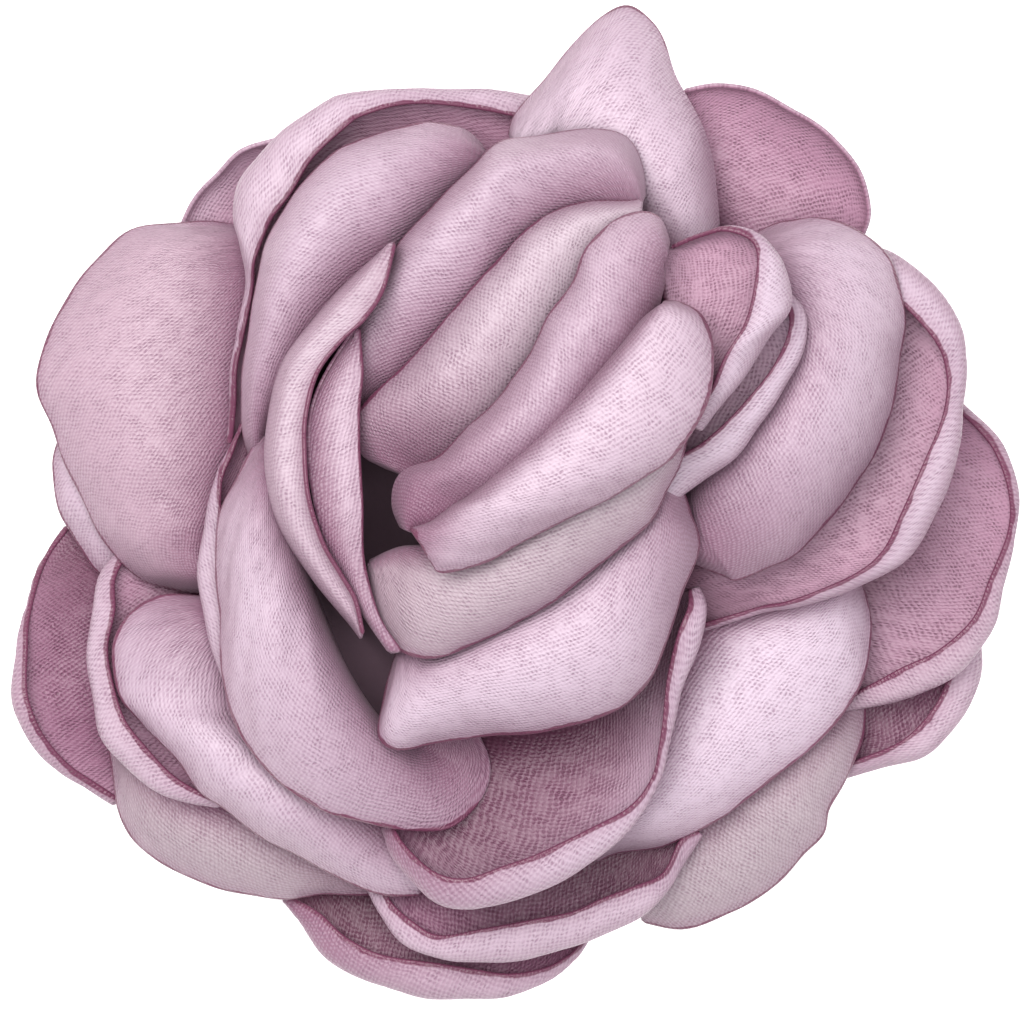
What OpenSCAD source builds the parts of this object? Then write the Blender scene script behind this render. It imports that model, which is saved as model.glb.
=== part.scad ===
// Flower brooch of curled satin petals on a felt disc, with a pin behind.
// Millimetres. The flower faces up, its back rests at z = 0, and y is up the face of the flower.

/* [Petals] */
// Thickness of a petal
petal_thick = 1; // [1:0.1:1.2]
// Steps from the root of a petal to its crest
stem_steps = 4; // [3:1:6]
// Steps from the crest of a petal to its rim
blade_steps = 3; // [2:1:5]
// Steps round a rolled lip
lip_steps = 2; // [2:1:4]
// Steps across a petal
across_steps = 10; // [8:1:14]
// Height of the narrowest rolled lip above its rim
lip_base = 0.9; // [0.9:0.1:1.1]
// How much higher a rolled lip stands for each millimetre of its width
lip_rise = 0.35; // [0.3:0.05:0.4]

/* [Backing] */
// Radius of the felt disc
disc_r = 24; // [23:0.5:24]
// Underside of the felt disc above the table
disc_low = 4; // [4:0.5:5]
// Thickness of the felt disc
disc_thick = 2; // [1.5:0.5:2]

/* [Pin] */
// Length of the brooch pin
pin_length = 32; // [28:1:36]
// Width of the pin's back plate
pin_width = 5; // [4:0.5:6]
// Thickness of the pin's back plate
plate_thick = 0.8; // [0.6:0.1:1]
// Diameter of the pin's stem
stem_d = 0.9; // [0.8:0.1:1.2]

/* [Hidden] */
// Gap left between the disc and the pin
gap = 0.1;
// Least width of a rolled lip, so that the sheet clears itself
lip_least = 1;
// Where every petal starts, just above the felt
root_z = disc_low + disc_thick + 0.7;
// Where the three lowest petals start, at the edge of the felt
low_start = disc_low + 1;
// Columns of a petal's rows: across, up, height of the rim, height of the crest, width of the lip
ACROSS = 0;
UP = 1;
RIM = 2;
CREST = 3;
LIP = 4;
pale = [0.84, 0.73, 0.80];
shaded = [0.72, 0.54, 0.64];
felt = [0.80, 0.70, 0.76];
steel = [0.78, 0.78, 0.80];

// A smooth curve through the rows of a table, at share t of its length
function along(rows, t) =
    let (
        last = len(rows) - 1,
        place = min(t * last, last - 0.0001),
        i = floor(place),
        f = place - i,
        a = rows[max(i - 1, 0)],
        b = rows[i],
        c = rows[i + 1],
        d = rows[min(i + 2, last)]
    )
    b + 0.5 * f * ((c - a) + f * ((2 * a - 5 * b + 4 * c - d) + f * (3 * b - a - 3 * c + d)));

// Stem: out from the root to the crest, steep first and level at the crest
function stem_point(root, row, crest_at, steep, lean, start, turned) =
    let (
        out = [row[ACROSS], row[UP]] - root,
        far = norm(out),
        back = lean * 2.6 * pow(sin(turned), 2) * cos(turned),
        gone = crest_at * far * (1 - pow(cos(turned), 2 / steep)) - back,
        place = root + out / far * gone
    )
    [place[0], place[1], start + (row[CREST] - start) * pow(sin(turned), 2 / steep)];

// Blade: from the level crest to the rim, down on a domed petal and up on a cupped one
function blade_point(root, row, crest_at, curl, share) =
    let (
        turned = curl * share,
        gone = crest_at + (1 - crest_at) * sin(turned) / sin(curl),
        place = root + ([row[ACROSS], row[UP]] - root) * gone,
        rise = (1 - cos(turned)) / (1 - cos(curl))
    )
    [place[0], place[1], row[CREST] + (row[RIM] - row[CREST]) * rise];

// Lip: a quarter turn up and back over the cup
function lip_point(root, row, turned) =
    let (
        out = [row[ACROSS], row[UP]] - root,
        wide = max(row[LIP], lip_least),
        place = [row[ACROSS], row[UP]] - out / norm(out) * wide * (1 - cos(turned))
    )
    [place[0], place[1], row[RIM] + (lip_base + lip_rise * wide) * sin(turned)];

// One line of a petal from its root to its free edge
function rib(root, row, crest_at, steep, lean, start, curl, lipped) = concat(
    [for (i = [0 : stem_steps])
        stem_point(root, row, crest_at, steep, lean, start, 90 * i / stem_steps)],
    [for (i = [1 : blade_steps]) blade_point(root, row, crest_at, curl, i / blade_steps)],
    lipped ? [for (i = [1 : lip_steps]) lip_point(root, row, 90 * i / lip_steps)] : []
);

// The way out of the sheet at one grid point, from its neighbours
function outward(grid, i, j) =
    let (
        m = len(grid) - 1,
        n = len(grid[0]) - 1,
        across = grid[min(i + 1, m)][j] - grid[max(i - 1, 0)][j],
        out = grid[i][min(j + 1, n)] - grid[i][max(j - 1, 0)],
        way = cross(across, out)
    )
    way / norm(way);

// A sheet of even thickness on the grid
module sheet(grid) {
    m = len(grid);
    n = len(grid[0]);
    half = petal_thick / 2;
    upper = [for (i = [0 : m - 1], j = [0 : n - 1]) grid[i][j] + half * outward(grid, i, j)];
    lower = [for (i = [0 : m - 1], j = [0 : n - 1]) grid[i][j] - half * outward(grid, i, j)];
    under = m * n;
    border = concat(
        [for (i = [0 : m - 2]) i * n],
        [for (j = [0 : n - 2]) (m - 1) * n + j],
        [for (i = [m - 1 : -1 : 1]) i * n + n - 1],
        [for (j = [n - 1 : -1 : 1]) j]
    );
    round_count = len(border);
    polyhedron(
        points = concat(upper, lower),
        faces = concat(
            [for (i = [0 : m - 2], j = [0 : n - 2]) each let (a = i * n + j, b = a + n)
                [[a, a + 1, b + 1], [a, b + 1, b]]],
            [for (i = [0 : m - 2], j = [0 : n - 2]) each let (a = under + i * n + j, b = a + n)
                [[a, b + 1, a + 1], [a, b, b + 1]]],
            [for (k = [0 : round_count - 1]) each
                let (a = border[k], b = border[(k + 1) % round_count])
                [[a, b, under + b], [a, under + b, under + a]]]
        ),
        convexity = 6
    );
}

// A petal from three points of its root and the rows of its rim
module petal(root, rim, crest_at = 0.5, steep = 3, lean = 0, curl = 65, start = root_z) {
    lipped = len(rim[0]) > LIP;
    sheet([for (i = [0 : across_steps])
        let (t = i / across_steps)
        rib(along(root, t), along(rim, t), crest_at, steep, lean, start, curl, lipped)]);
}

module petal_heart_front() {
    rim = [
        [-7.5, -2.5, 27, 28.5],
        [-6.5, -4.5, 26.5, 29],
        [-4.5, -5, 27, 30],
        [-1, -3.5, 28, 31],
        [3.5, -1, 28.5, 32],
        [8, 1.5, 29, 32.5],
        [11.5, 4, 29, 32.5],
        [13.5, 8, 29, 32.5],
        [14.5, 12, 28.5, 32],
        [13.5, 14.5, 28.5, 31],
        [11, 15, 28.5, 30]
    ];
    color(pale) petal([[-6.5, -2], [2.5, 4], [10.5, 13]], rim);
}

module petal_heart_back() {
    rim = [
        [-8.5, -1.5, 26, 27],
        [-9, 0.5, 26, 28],
        [-8.5, 2.5, 26, 28.5],
        [-5.5, 3.5, 27, 30],
        [-3.5, 5.5, 28, 31],
        [-1, 8, 28, 31],
        [2.5, 14, 28, 31],
        [4.5, 16.5, 28, 30.5],
        [5.5, 19, 27.5, 30],
        [7.5, 21, 27, 29.5],
        [11, 21.5, 26.5, 28.5]
    ];
    color(pale) petal([[-8, -1], [2, 6.5], [11.5, 18]], rim, lean = 1.4);
}

module petal_inner_front() {
    rim = [
        [-9.5, -4.5, 20.5, 22],
        [-9, -8, 21.5, 23],
        [-8, -10.5, 22, 24.5],
        [-5.5, -11, 23, 25.5],
        [-2.5, -10, 23.5, 26.5],
        [0.5, -8.5, 24, 27],
        [3.5, -6.5, 24, 27],
        [6.5, -4, 24, 27],
        [9.5, -1.5, 24, 27],
        [11, 1, 24, 27],
        [12, 3, 24.5, 27],
        [12.5, 5.5, 24.5, 26.5]
    ];
    color(pale) petal([[-9, -6.5], [1.5, 0], [10.5, 6.5]], rim);
}

module petal_second_front() {
    rim = [
        [-8.5, -10.5, 18, 19],
        [-9.5, -14, 18.5, 20],
        [-10, -17, 18.5, 20.5],
        [-8.5, -18, 19, 21.5],
        [-5, -17.5, 19, 22],
        [-1, -17, 19.5, 22.5],
        [2.5, -16.5, 19.5, 23],
        [6.5, -15.5, 19.5, 23],
        [9.5, -14.5, 19, 23],
        [11, -11.5, 19, 23],
        [12.5, -7, 19, 23],
        [13.5, -3, 19.5, 23],
        [12.5, -1, 20, 22.5],
        [11.5, 0.5, 20, 22]
    ];
    color(pale) petal([[-7.5, -9.5], [2, -5.5], [9, 0.5]], rim);
}

module petal_third_left() {
    rim = [
        [-20.5, 4, 18, 19.5],
        [-21.5, 1, 18, 20.5],
        [-22, -3, 18, 21.5],
        [-22, -8, 18, 22],
        [-21.5, -13, 17.5, 22],
        [-20, -17.5, 17, 21.5],
        [-17.5, -20.5, 16.5, 21],
        [-14.5, -22.5, 16.5, 20],
        [-11.5, -23.5, 16.5, 19],
        [-8.5, -24, 16.5, 18.5],
        [-5.5, -24, 16.5, 18],
        [-3.5, -22.5, 16.5, 17.5],
        [-2, -20.5, 16.5, 17.5],
        [-2, -19, 16.5, 17.5],
        [-3, -17.5, 16.5, 17.5]
    ];
    color(pale) petal([[-19.5, 4], [-18, -3], [-14.5, -9], [-9, -17]], rim);
}

module petal_third_right() {
    rim = [
        [17, 19.5, 16.5, 18],
        [20, 21, 17, 19],
        [24, 21, 17.5, 20],
        [27.5, 18.5, 17.8, 20.5],
        [29, 14, 17, 21],
        [28.5, 10, 16, 21],
        [27.5, 6, 15.5, 21],
        [25.5, 2, 15.5, 21],
        [21.5, -3, 15.5, 20.5],
        [19, -4.5, 15.5, 20],
        [16.5, -5.5, 15.5, 19],
        [13.5, -4, 15.5, 18],
        [12, -3, 15.5, 17]
    ];
    color(pale) petal([[17, 15], [17.5, 7.5], [12, -1]], rim);
}

module petal_fourth_left() {
    rim = [
        [-20.5, 6.3, 15.2, 13.6, 0.5],
        [-21.5, 4, 15.2, 13.6, 1],
        [-22.5, 2, 15.2, 13.6, 1],
        [-23, -1.5, 15.2, 13.6, 1.5],
        [-23.5, -5, 15.2, 13.6, 1.5],
        [-23, -8.5, 15.2, 13.6, 1.5],
        [-22.5, -11, 15.2, 13.6, 1],
        [-21.5, -14, 15.2, 13.6, 0.5]
    ];
    color(shaded) petal([[-20.5, 2.5], [-19, -5.5], [-17, -12.5]], rim, curl = 80);
}

module petal_fourth_front() {
    rim = [
        [-10, -24, 13, 12, 1],
        [-9, -26.5, 14, 12.5, 1.5],
        [-6.5, -29, 15, 13, 1.5],
        [-4, -30, 15.5, 13.5, 2],
        [-1, -29.5, 16, 14, 2],
        [2, -28.5, 16, 14, 2],
        [5.5, -26, 16, 14, 2],
        [8, -24, 16, 14, 1.5],
        [10, -21, 16.5, 14.5, 1.5],
        [11.5, -17.5, 17, 15, 1.5],
        [13, -14, 17, 15, 2],
        [14, -10, 17, 15, 2],
        [14, -7, 17, 15, 1.5]
    ];
    color(shaded) petal([[-6, -18], [3.5, -13], [10, -7]], rim, curl = 80);
}

module petal_fourth_right() {
    rim = [
        [26, 19.5, 13.5, 12.5, 1.5],
        [28.5, 18.5, 14.5, 12.5, 2.5],
        [31, 16.5, 14.5, 12.5, 2.5],
        [33, 13.5, 14.5, 12.5, 2],
        [33.5, 11, 14.5, 12.5, 1.5],
        [33.5, 8, 14.5, 12.5, 1.5],
        [33, 4, 14.5, 12.5, 2.5],
        [31.5, 0, 14.5, 12.5, 2.5],
        [29.5, -3.5, 14.5, 12.5, 2],
        [26.5, -5.5, 14.5, 12.5, 1.5],
        [21.5, -7.5, 14, 12, 1.5],
        [18.5, -8, 13.5, 11.5, 1],
        [14.5, -9, 12.5, 11, 1]
    ];
    color(shaded) petal([[18.5, 13.5], [20, 6.5], [14.5, -2.5]], rim, curl = 80);
}

module petal_inner_back() {
    rim = [
        [-8.5, 2.5, 22, 23],
        [-10, 3.5, 22, 23.5],
        [-11.5, 4, 22, 23.5],
        [-11.5, 7, 23, 24.5],
        [-8.5, 10, 23.5, 25.5],
        [-5.5, 13, 24, 26],
        [-3.5, 15.5, 24, 26],
        [-1, 18.5, 24, 26],
        [1, 20.5, 24, 25.5],
        [3.5, 22, 23.5, 25],
        [6.5, 22.5, 23.5, 24.5],
        [9.5, 22.5, 23, 24]
    ];
    color(pale) petal([[-8, 2], [0.5, 9.5], [8, 20]], rim);
}

module petal_second_back() {
    rim = [
        [-11.5, 8, 20, 21],
        [-11, 12, 21, 22.5],
        [-9, 16, 21.5, 23],
        [-8, 19.5, 22.5, 23.5],
        [-6.5, 21.5, 22.5, 24.5],
        [-5, 23, 22, 24.5],
        [-3, 25, 21.5, 24.5],
        [-1, 27, 21, 24],
        [2, 27.5, 20.5, 23.5],
        [5.5, 28, 20, 23],
        [8, 27.5, 19.5, 22.5],
        [9, 25.5, 20, 22],
        [9, 23, 20.5, 21.5]
    ];
    color(pale) petal([[-10.5, 7], [-1.5, 16], [6, 22]], rim);
}

module petal_inner_left() {
    rim = [
        [-8.5, 18.5, 25, 25],
        [-9, 16, 26, 25.5],
        [-10.5, 14, 27, 26.5],
        [-13, 11.5, 27, 26.5],
        [-15, 8.5, 27, 26.5],
        [-15, 5, 27, 26.5],
        [-15, 0.5, 27, 26],
        [-13.5, -3.5, 26, 25],
        [-11.5, -7, 25, 24],
        [-11, -9.3, 24.5, 23.5]
    ];
    color(pale) petal([[-10, 17.5], [-15, 12.5], [-17.5, 5], [-16.5, -3], [-12.8, -9]], rim);
}

module petal_third_back() {
    rim = [
        [-2.5, 26.5, 18, 19],
        [-4, 28, 18.5, 20],
        [-6.5, 28.5, 19, 20.5],
        [-9, 28, 19, 21],
        [-11.5, 27, 19, 21.5],
        [-13.5, 26, 19, 21.5],
        [-15.5, 24, 19, 22],
        [-17, 22, 19, 22],
        [-18.5, 19, 19, 22],
        [-19.5, 15, 19, 22],
        [-20, 11.5, 19, 21.5],
        [-20, 8, 18.5, 20.5],
        [-20.5, 6, 18.5, 20]
    ];
    color(pale) petal([[-3, 21.5], [-9.5, 20.2], [-15.7, 14], [-19, 7]], rim);
}

module petal_sixth_back() {
    rim = [
        [-21, 8, 15.5, 14, 0.5],
        [-21, 10.5, 15.5, 14, 0.5],
        [-20.5, 13, 15.5, 14, 0.5],
        [-20, 16.5, 15.5, 14, 1],
        [-20.5, 19.5, 15.5, 14, 2],
        [-21, 21.5, 15, 14, 3],
        [-20.5, 24, 15, 14, 3.5],
        [-19, 26, 15, 14, 3.5],
        [-17, 28, 15.5, 14, 3],
        [-14, 30, 16, 14, 2],
        [-12.5, 30.5, 16, 14, 1.5],
        [-8.5, 31, 16, 14, 1],
        [-3.5, 31, 15, 13.5, 1.5],
        [0.5, 30.5, 14, 13, 2]
    ];
    color(shaded) petal([[-19.5, 9.5], [-16, 16.5], [-9.5, 21.8], [-2, 23]], rim, curl = 80);
}

module petal_fifth_top() {
    rim = [
        [-0.5, 27.5, 17, 18],
        [0, 29, 16.5, 18.5],
        [2.5, 32, 15.5, 18.5],
        [5, 35, 14.5, 18],
        [7, 36.5, 14, 18],
        [8.5, 37, 13.5, 18],
        [10, 36, 13.5, 18],
        [11, 34.5, 14, 18],
        [12, 32, 14.5, 18],
        [13, 30, 15, 18],
        [14, 28, 15, 18],
        [14.5, 25.5, 15, 17.5],
        [15, 22.5, 15, 17],
        [15, 20.5, 15, 17]
    ];
    color(pale) petal([[0.5, 23.5], [6, 23.7], [11.3, 20]], rim);
}

module petal_sixth_top_right() {
    rim = [
        [12.5, 31, 12, 10.5],
        [15, 31.5, 12.5, 10.5],
        [17.5, 31, 13, 10.5],
        [20.5, 29.5, 13.5, 10.5],
        [23.5, 27.5, 13.5, 10.5],
        [25.5, 25, 13, 10.5],
        [26.5, 22, 12, 10],
        [26, 20, 11, 9.5]
    ];
    color(shaded) petal([[12.5, 20.5], [15, 19], [17.5, 16.8]], rim, curl = 80);
}

module petal_seventh_back() {
    rim = [
        [-25, 20.5, 8, 7.8],
        [-24, 22.5, 9, 8],
        [-22.5, 24.5, 10, 8.5],
        [-20.5, 26.5, 11, 9],
        [-17.5, 27.5, 11, 9.5]
    ];
    color(shaded) petal([[-18, 17.3], [-16.5, 18.8], [-14.5, 20]], rim, curl = 80);
}

module petal_fifth_left() {
    rim = [
        [-20, 20, 10.5, 11.5],
        [-23.5, 21, 10.5, 12],
        [-28.5, 20.5, 9.5, 12.5],
        [-31.5, 18, 9, 12.5],
        [-33.5, 15.5, 9, 12.5],
        [-35, 12, 9, 12.5],
        [-35.5, 9, 9, 12.5],
        [-34.5, 6, 9, 12.5],
        [-33.5, 3, 9, 12.5],
        [-32, 0, 9.5, 12.5],
        [-30.5, -3, 10, 12.5],
        [-28, -5, 10, 12],
        [-25.5, -5.5, 10, 11.5],
        [-23.5, -5.5, 10, 11]
    ];
    color(pale) petal([[-19.5, 14.5], [-22, 8], [-23.5, 1], [-23.5, -3]], rim);
}

module petal_sixth_left() {
    rim = [
        [-29.5, -3.5, 7.5, 7.5, 0.5],
        [-31, -5.5, 8, 7.5, 1],
        [-31.5, -8, 9, 8, 1.5],
        [-32, -11, 9.5, 8, 1.5],
        [-31.5, -14, 9.5, 8, 1.5],
        [-31, -17, 9.5, 8, 2],
        [-29.5, -19, 9.5, 8, 2],
        [-27, -21, 9.5, 8, 1.5],
        [-24.5, -22, 9.5, 8, 1],
        [-22, -22.5, 9.5, 8, 0.5]
    ];
    color(shaded) petal([[-22, -8.5], [-20, -14.5], [-17, -18.3]], rim, curl = 80);
}

module petal_fifth_front_left() {
    rim = [
        [-23, -7, 11, 12],
        [-24.5, -7, 11.5, 12.5],
        [-26.5, -7, 12, 13],
        [-28.5, -8, 11.8, 12.8],
        [-30, -10.5, 11.8, 12.8],
        [-29.5, -14, 11.8, 12.8],
        [-28, -16, 12, 14],
        [-25.5, -18.5, 12.5, 14.5],
        [-23.5, -21, 12, 14.5],
        [-21.5, -22.5, 12, 14.5],
        [-18.5, -25, 11.5, 14],
        [-15.5, -26.5, 11, 13],
        [-12.5, -28, 10, 11.5],
        [-9.5, -29, 9.5, 10.5],
        [-7, -29, 9.5, 10.5]
    ];
    color(pale) petal([[-20.5, -8.5], [-18, -15.5], [-12.5, -20.5], [-7, -22.5]], rim);
}

module petal_seventh_left() {
    rim = [
        [-34, 5, 5.5, 7.5],
        [-34.5, 3, 5, 7.5],
        [-34, 0, 5, 7.5],
        [-33, -2, 5, 7],
        [-31.5, -4.5, 5, 6.5]
    ];
    color(pale) petal([[-24.8, 3], [-24.8, -1.5]], rim);
}

module petal_last_left() {
    rim = [
        [-33.5, -1.5, 2.5, 2.5, 0.5],
        [-35, -3.5, 3, 2.8, 0.5],
        [-36, -5.5, 4, 3.3, 1],
        [-37, -8.5, 5.2, 4, 1],
        [-37.3, -11, 5.6, 4.2, 1],
        [-37.5, -14, 5.6, 4.2, 1.5],
        [-37, -16, 5.6, 4.2, 1.5],
        [-36, -18, 5, 4, 1.5],
        [-34, -20, 4, 3.3, 1],
        [-31.5, -21.5, 3, 2.6, 0.5],
        [-30, -22.5, 2.5, 2.4, 0.5]
    ];
    color(shaded) petal([[-23.6, -7.5], [-22, -12.3]], rim, curl = 80, start = low_start);
}

module petal_heart_left() {
    rim = [
        [-12, 12.5, 23, 23],
        [-11.5, 8, 25, 24.5],
        [-11.5, 4, 25.5, 24.5],
        [-11.5, 0.5, 25.5, 24.5],
        [-11.5, -4, 25, 24],
        [-10, -8, 24.5, 23.5],
        [-8.5, -10.5, 24, 23.5]
    ];
    color(pale) petal([[-13.5, 12], [-16, 6], [-15.5, 0], [-12.8, -4.5], [-10.2, -8.2]], rim);
}

module petal_inner_right() {
    rim = [
        [12.5, 19.5, 25, 24, 0.5],
        [14, 20, 25.5, 24, 0.5],
        [16, 20.5, 26, 24, 0.5],
        [18.5, 19.5, 26, 24, 1],
        [20, 17.5, 26, 24, 2.5],
        [20.5, 15, 26, 24, 3],
        [19, 12.5, 26, 24, 2.5],
        [17, 9.5, 26, 24, 2],
        [15.5, 8, 25.5, 24, 1]
    ];
    color(shaded) petal([[13, 17.5], [13, 12.5], [13, 8.5]], rim, curl = 80);
}

module petal_second_right() {
    rim = [
        [20, 16, 21.8, 20.3, 0.5],
        [21.5, 14, 22.8, 20.8, 1],
        [21.5, 11.5, 23.5, 21, 2],
        [20, 8.5, 23.5, 21, 2.5],
        [18.5, 6.5, 23.5, 21, 3],
        [17, 4, 23.5, 21, 3],
        [14, 2, 22, 20, 2.5],
        [12.5, 1, 21.5, 20, 1.5]
    ];
    color(shaded) petal([[15, 14.5], [15, 8.5], [12.8, 2.6]], rim, curl = 80);
}

module petal_fifth_front_right() {
    rim = [
        [25, -5, 9.5, 10.5],
        [26, -8, 10, 11.5],
        [26.5, -10.5, 10, 12],
        [26, -13, 10, 12],
        [24.5, -15.5, 10, 12],
        [21.5, -18.5, 10, 12],
        [19.5, -20, 10, 12],
        [17, -22, 10, 12],
        [14, -24, 10, 12],
        [11, -25.5, 10, 12],
        [7.5, -26, 10, 11.5],
        [6, -26.5, 10, 11]
    ];
    color(pale) petal([[21.5, -3.5], [16, -8], [11.5, -12.5], [9, -18], [6.5, -21.5]], rim);
}

module petal_sixth_right() {
    rim = [
        [33, 8, 8, 7, 0.5],
        [35, 6, 8.8, 7.2, 0.5],
        [36.5, 4, 9.2, 7.4, 0.5],
        [37.5, 1, 9.2, 7.4, 0.5],
        [37.5, -2, 8.8, 7.2, 0.5],
        [36.5, -6, 7.8, 6.6, 1],
        [35.5, -9.5, 7, 6, 1.5],
        [33, -12.5, 6.5, 5.6, 2],
        [30, -14, 6.2, 5.5, 2],
        [27, -15, 6, 5.5, 1.5],
        [24.5, -15.5, 6, 5.5, 1]
    ];
    color(shaded) petal([[24.5, 4], [25, -1], [24.2, -6.5]], rim, curl = 80);
}

module petal_last_right() {
    rim = [
        [34.7, -10, 2.6, 2.3, 1],
        [34.7, -13, 3, 2.6, 2],
        [33.3, -16, 3.6, 2.9, 2],
        [31, -18.5, 4, 3, 2],
        [28, -19.5, 3.6, 2.9, 1.5],
        [24.5, -20.5, 3.2, 2.6, 1]
    ];
    color(shaded) petal([[23, -9.5], [21.5, -12.8], [18.8, -16]], rim, curl = 80, start = low_start);
}

module petal_seventh_front_right() {
    rim = [
        [25.5, -17, 6, 7],
        [25.5, -18.5, 6, 7],
        [24.5, -20.5, 6, 7],
        [23, -22.5, 5.5, 7],
        [23, -24.5, 5, 7],
        [21.5, -26, 4.5, 7],
        [20, -28, 4, 6.5],
        [18, -29.5, 4, 6],
        [16, -30.5, 4, 6],
        [12.5, -31.5, 4, 6],
        [9.5, -31, 4, 6]
    ];
    color(pale) petal([[17.5, -17.5], [13.2, -21], [8.7, -23.3]], rim);
}

module petal_sixth_front() {
    rim = [
        [-11, -28.5, 7, 7, 1],
        [-10, -30.5, 7, 7, 1],
        [-8.5, -32.5, 7.5, 7, 1.5],
        [-6.5, -33.5, 8, 7.2, 1.5],
        [-3.5, -34, 8, 7.2, 2.5],
        [0.5, -34, 8, 7.2, 3],
        [4, -33, 8, 7.2, 2.5],
        [6.5, -32, 8, 7.5, 2.5],
        [9.5, -30.5, 8, 7.5, 2],
        [11.5, -28.5, 8, 7.5, 1],
        [13, -26, 7.8, 7.5, 1],
        [14, -24.5, 7.8, 7.5, 0.5]
    ];
    color(shaded) petal([[-5.5, -23.5], [0, -23.5], [6.5, -23.3]], rim, curl = 80);
}

module petal_seventh_front_left() {
    rim = [
        [-30.5, -17.8, 5.6, 6.2],
        [-30, -20.5, 5, 6.3],
        [-29.5, -23, 4.8, 6.5],
        [-28.5, -25, 4.5, 6.5],
        [-26.5, -26.5, 4.5, 6.5],
        [-23.5, -28, 4.5, 6.5],
        [-20.5, -29, 4.5, 6.5],
        [-17.5, -29.5, 4.5, 6.5],
        [-14, -29, 5, 6.2],
        [-10, -29, 5.5, 6]
    ];
    color(pale) petal([[-15.5, -19.8], [-11, -22.5]], rim);
}

module petal_last_front() {
    rim = [
        [-17.5, -29.5, 2.2, 2, 0.5],
        [-16, -31.5, 2.8, 2.3, 1.5],
        [-14, -34, 3.4, 2.6, 2],
        [-11, -35.5, 3.8, 2.9, 2],
        [-7, -36.7, 4.1, 3.1, 2.5],
        [-3.5, -36.8, 4.1, 3.2, 2],
        [-0.5, -36.7, 4.1, 3.2, 1.5],
        [2.5, -35.7, 4.1, 3.2, 1],
        [4.5, -34, 3.9, 3.1, 0.5],
        [5.5, -32.5, 3.8, 3, 0.5]
    ];
    color(shaded) petal([[-8, -24], [-2, -25.2], [3, -25]], rim, curl = 80, start = low_start);
}

// Round felt disc that carries every petal
module backing_disc() {
    color(felt) translate([0, 0, disc_low]) cylinder(r = disc_r, h = disc_thick, $fn = 96);
}

// Brooch pin under the disc: a plate, an end block at each side and the stem between them
module brooch_pin() {
    block = 4;
    stem_z = stem_d / 2;
    color(steel) {
        translate([-pin_length / 2, -pin_width / 2, disc_low - gap - plate_thick])
            cube([pin_length, pin_width, plate_thick]);
        for (side = [-1, 1])
            translate([side * (pin_length - block) / 2 - block / 2, -pin_width / 2, 0])
                cube([block, pin_width, disc_low - gap - plate_thick / 2]);
        translate([-pin_length / 2 + block / 2, 0, stem_z + 0.4]) rotate([0, 90, 0])
            cylinder(d = stem_d, h = pin_length - block, $fn = 24);
    }
}

petal_heart_front();
petal_heart_back();
petal_heart_left();
petal_inner_front();
petal_inner_back();
petal_inner_left();
petal_inner_right();
petal_second_front();
petal_second_back();
petal_second_right();
petal_third_left();
petal_third_right();
petal_third_back();
petal_fourth_left();
petal_fourth_front();
petal_fourth_right();
petal_fifth_left();
petal_fifth_top();
petal_fifth_front_left();
petal_fifth_front_right();
petal_sixth_back();
petal_sixth_left();
petal_sixth_front();
petal_sixth_right();
petal_sixth_top_right();
petal_seventh_back();
petal_seventh_left();
petal_seventh_front_left();
petal_seventh_front_right();
petal_last_left();
petal_last_front();
petal_last_right();
backing_disc();
brooch_pin();
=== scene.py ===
"""A flower brooch: thirty-two curled satin petals with singed edges, a felt disc and a brooch pin."""

import bpy
import numpy as np
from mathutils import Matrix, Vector


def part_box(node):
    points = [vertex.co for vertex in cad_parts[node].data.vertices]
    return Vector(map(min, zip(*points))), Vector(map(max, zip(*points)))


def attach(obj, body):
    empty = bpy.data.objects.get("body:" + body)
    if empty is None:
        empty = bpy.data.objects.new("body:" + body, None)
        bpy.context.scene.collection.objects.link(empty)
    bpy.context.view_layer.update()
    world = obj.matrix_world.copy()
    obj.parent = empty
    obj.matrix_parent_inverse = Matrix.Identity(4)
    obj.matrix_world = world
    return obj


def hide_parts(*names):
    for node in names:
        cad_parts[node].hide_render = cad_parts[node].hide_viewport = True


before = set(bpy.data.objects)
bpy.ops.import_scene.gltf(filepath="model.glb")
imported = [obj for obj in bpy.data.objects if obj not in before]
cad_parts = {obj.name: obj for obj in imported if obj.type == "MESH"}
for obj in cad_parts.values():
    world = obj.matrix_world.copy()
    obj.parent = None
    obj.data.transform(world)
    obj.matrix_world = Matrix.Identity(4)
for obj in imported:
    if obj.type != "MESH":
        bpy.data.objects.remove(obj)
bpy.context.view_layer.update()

# The picture: a long lens straight above the flower.
# The flower lies on a white table between large soft boxes, as small goods are photographed.

MM = 0.001
# The picture shows this width of the flower at this level over the table, round this place.
VIEW_ACROSS = 76.42 * MM
VIEW_CENTRE = (-0.22 * MM, 0.07 * MM)
VIEW_LEVEL = 12 * MM
LENS_HEIGHT = 2.0
NEAREST_SEEN = 0.05
SENSOR = 36.0

lens = bpy.data.cameras.new("long_lens")
lens.sensor_fit = "HORIZONTAL"
lens.sensor_width = SENSOR
lens.lens = SENSOR * (LENS_HEIGHT - VIEW_LEVEL) / VIEW_ACROSS
lens.clip_start = NEAREST_SEEN
camera = bpy.data.objects.new("long_lens", lens)
camera.location = (*VIEW_CENTRE, LENS_HEIGHT)
bpy.context.collection.objects.link(camera)
bpy.context.scene.camera = camera
bpy.context.scene.view_settings.view_transform = "Standard"

FLOWER_MIDDLE = (0.0, 0.0, 15 * MM)
WARM_LIGHT = (1.0, 0.985, 0.97)
COOL_LIGHT = (0.97, 0.98, 1.0)
WHITE = (1.0, 1.0, 1.0)
ROOM_LIGHT = 0.20


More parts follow.
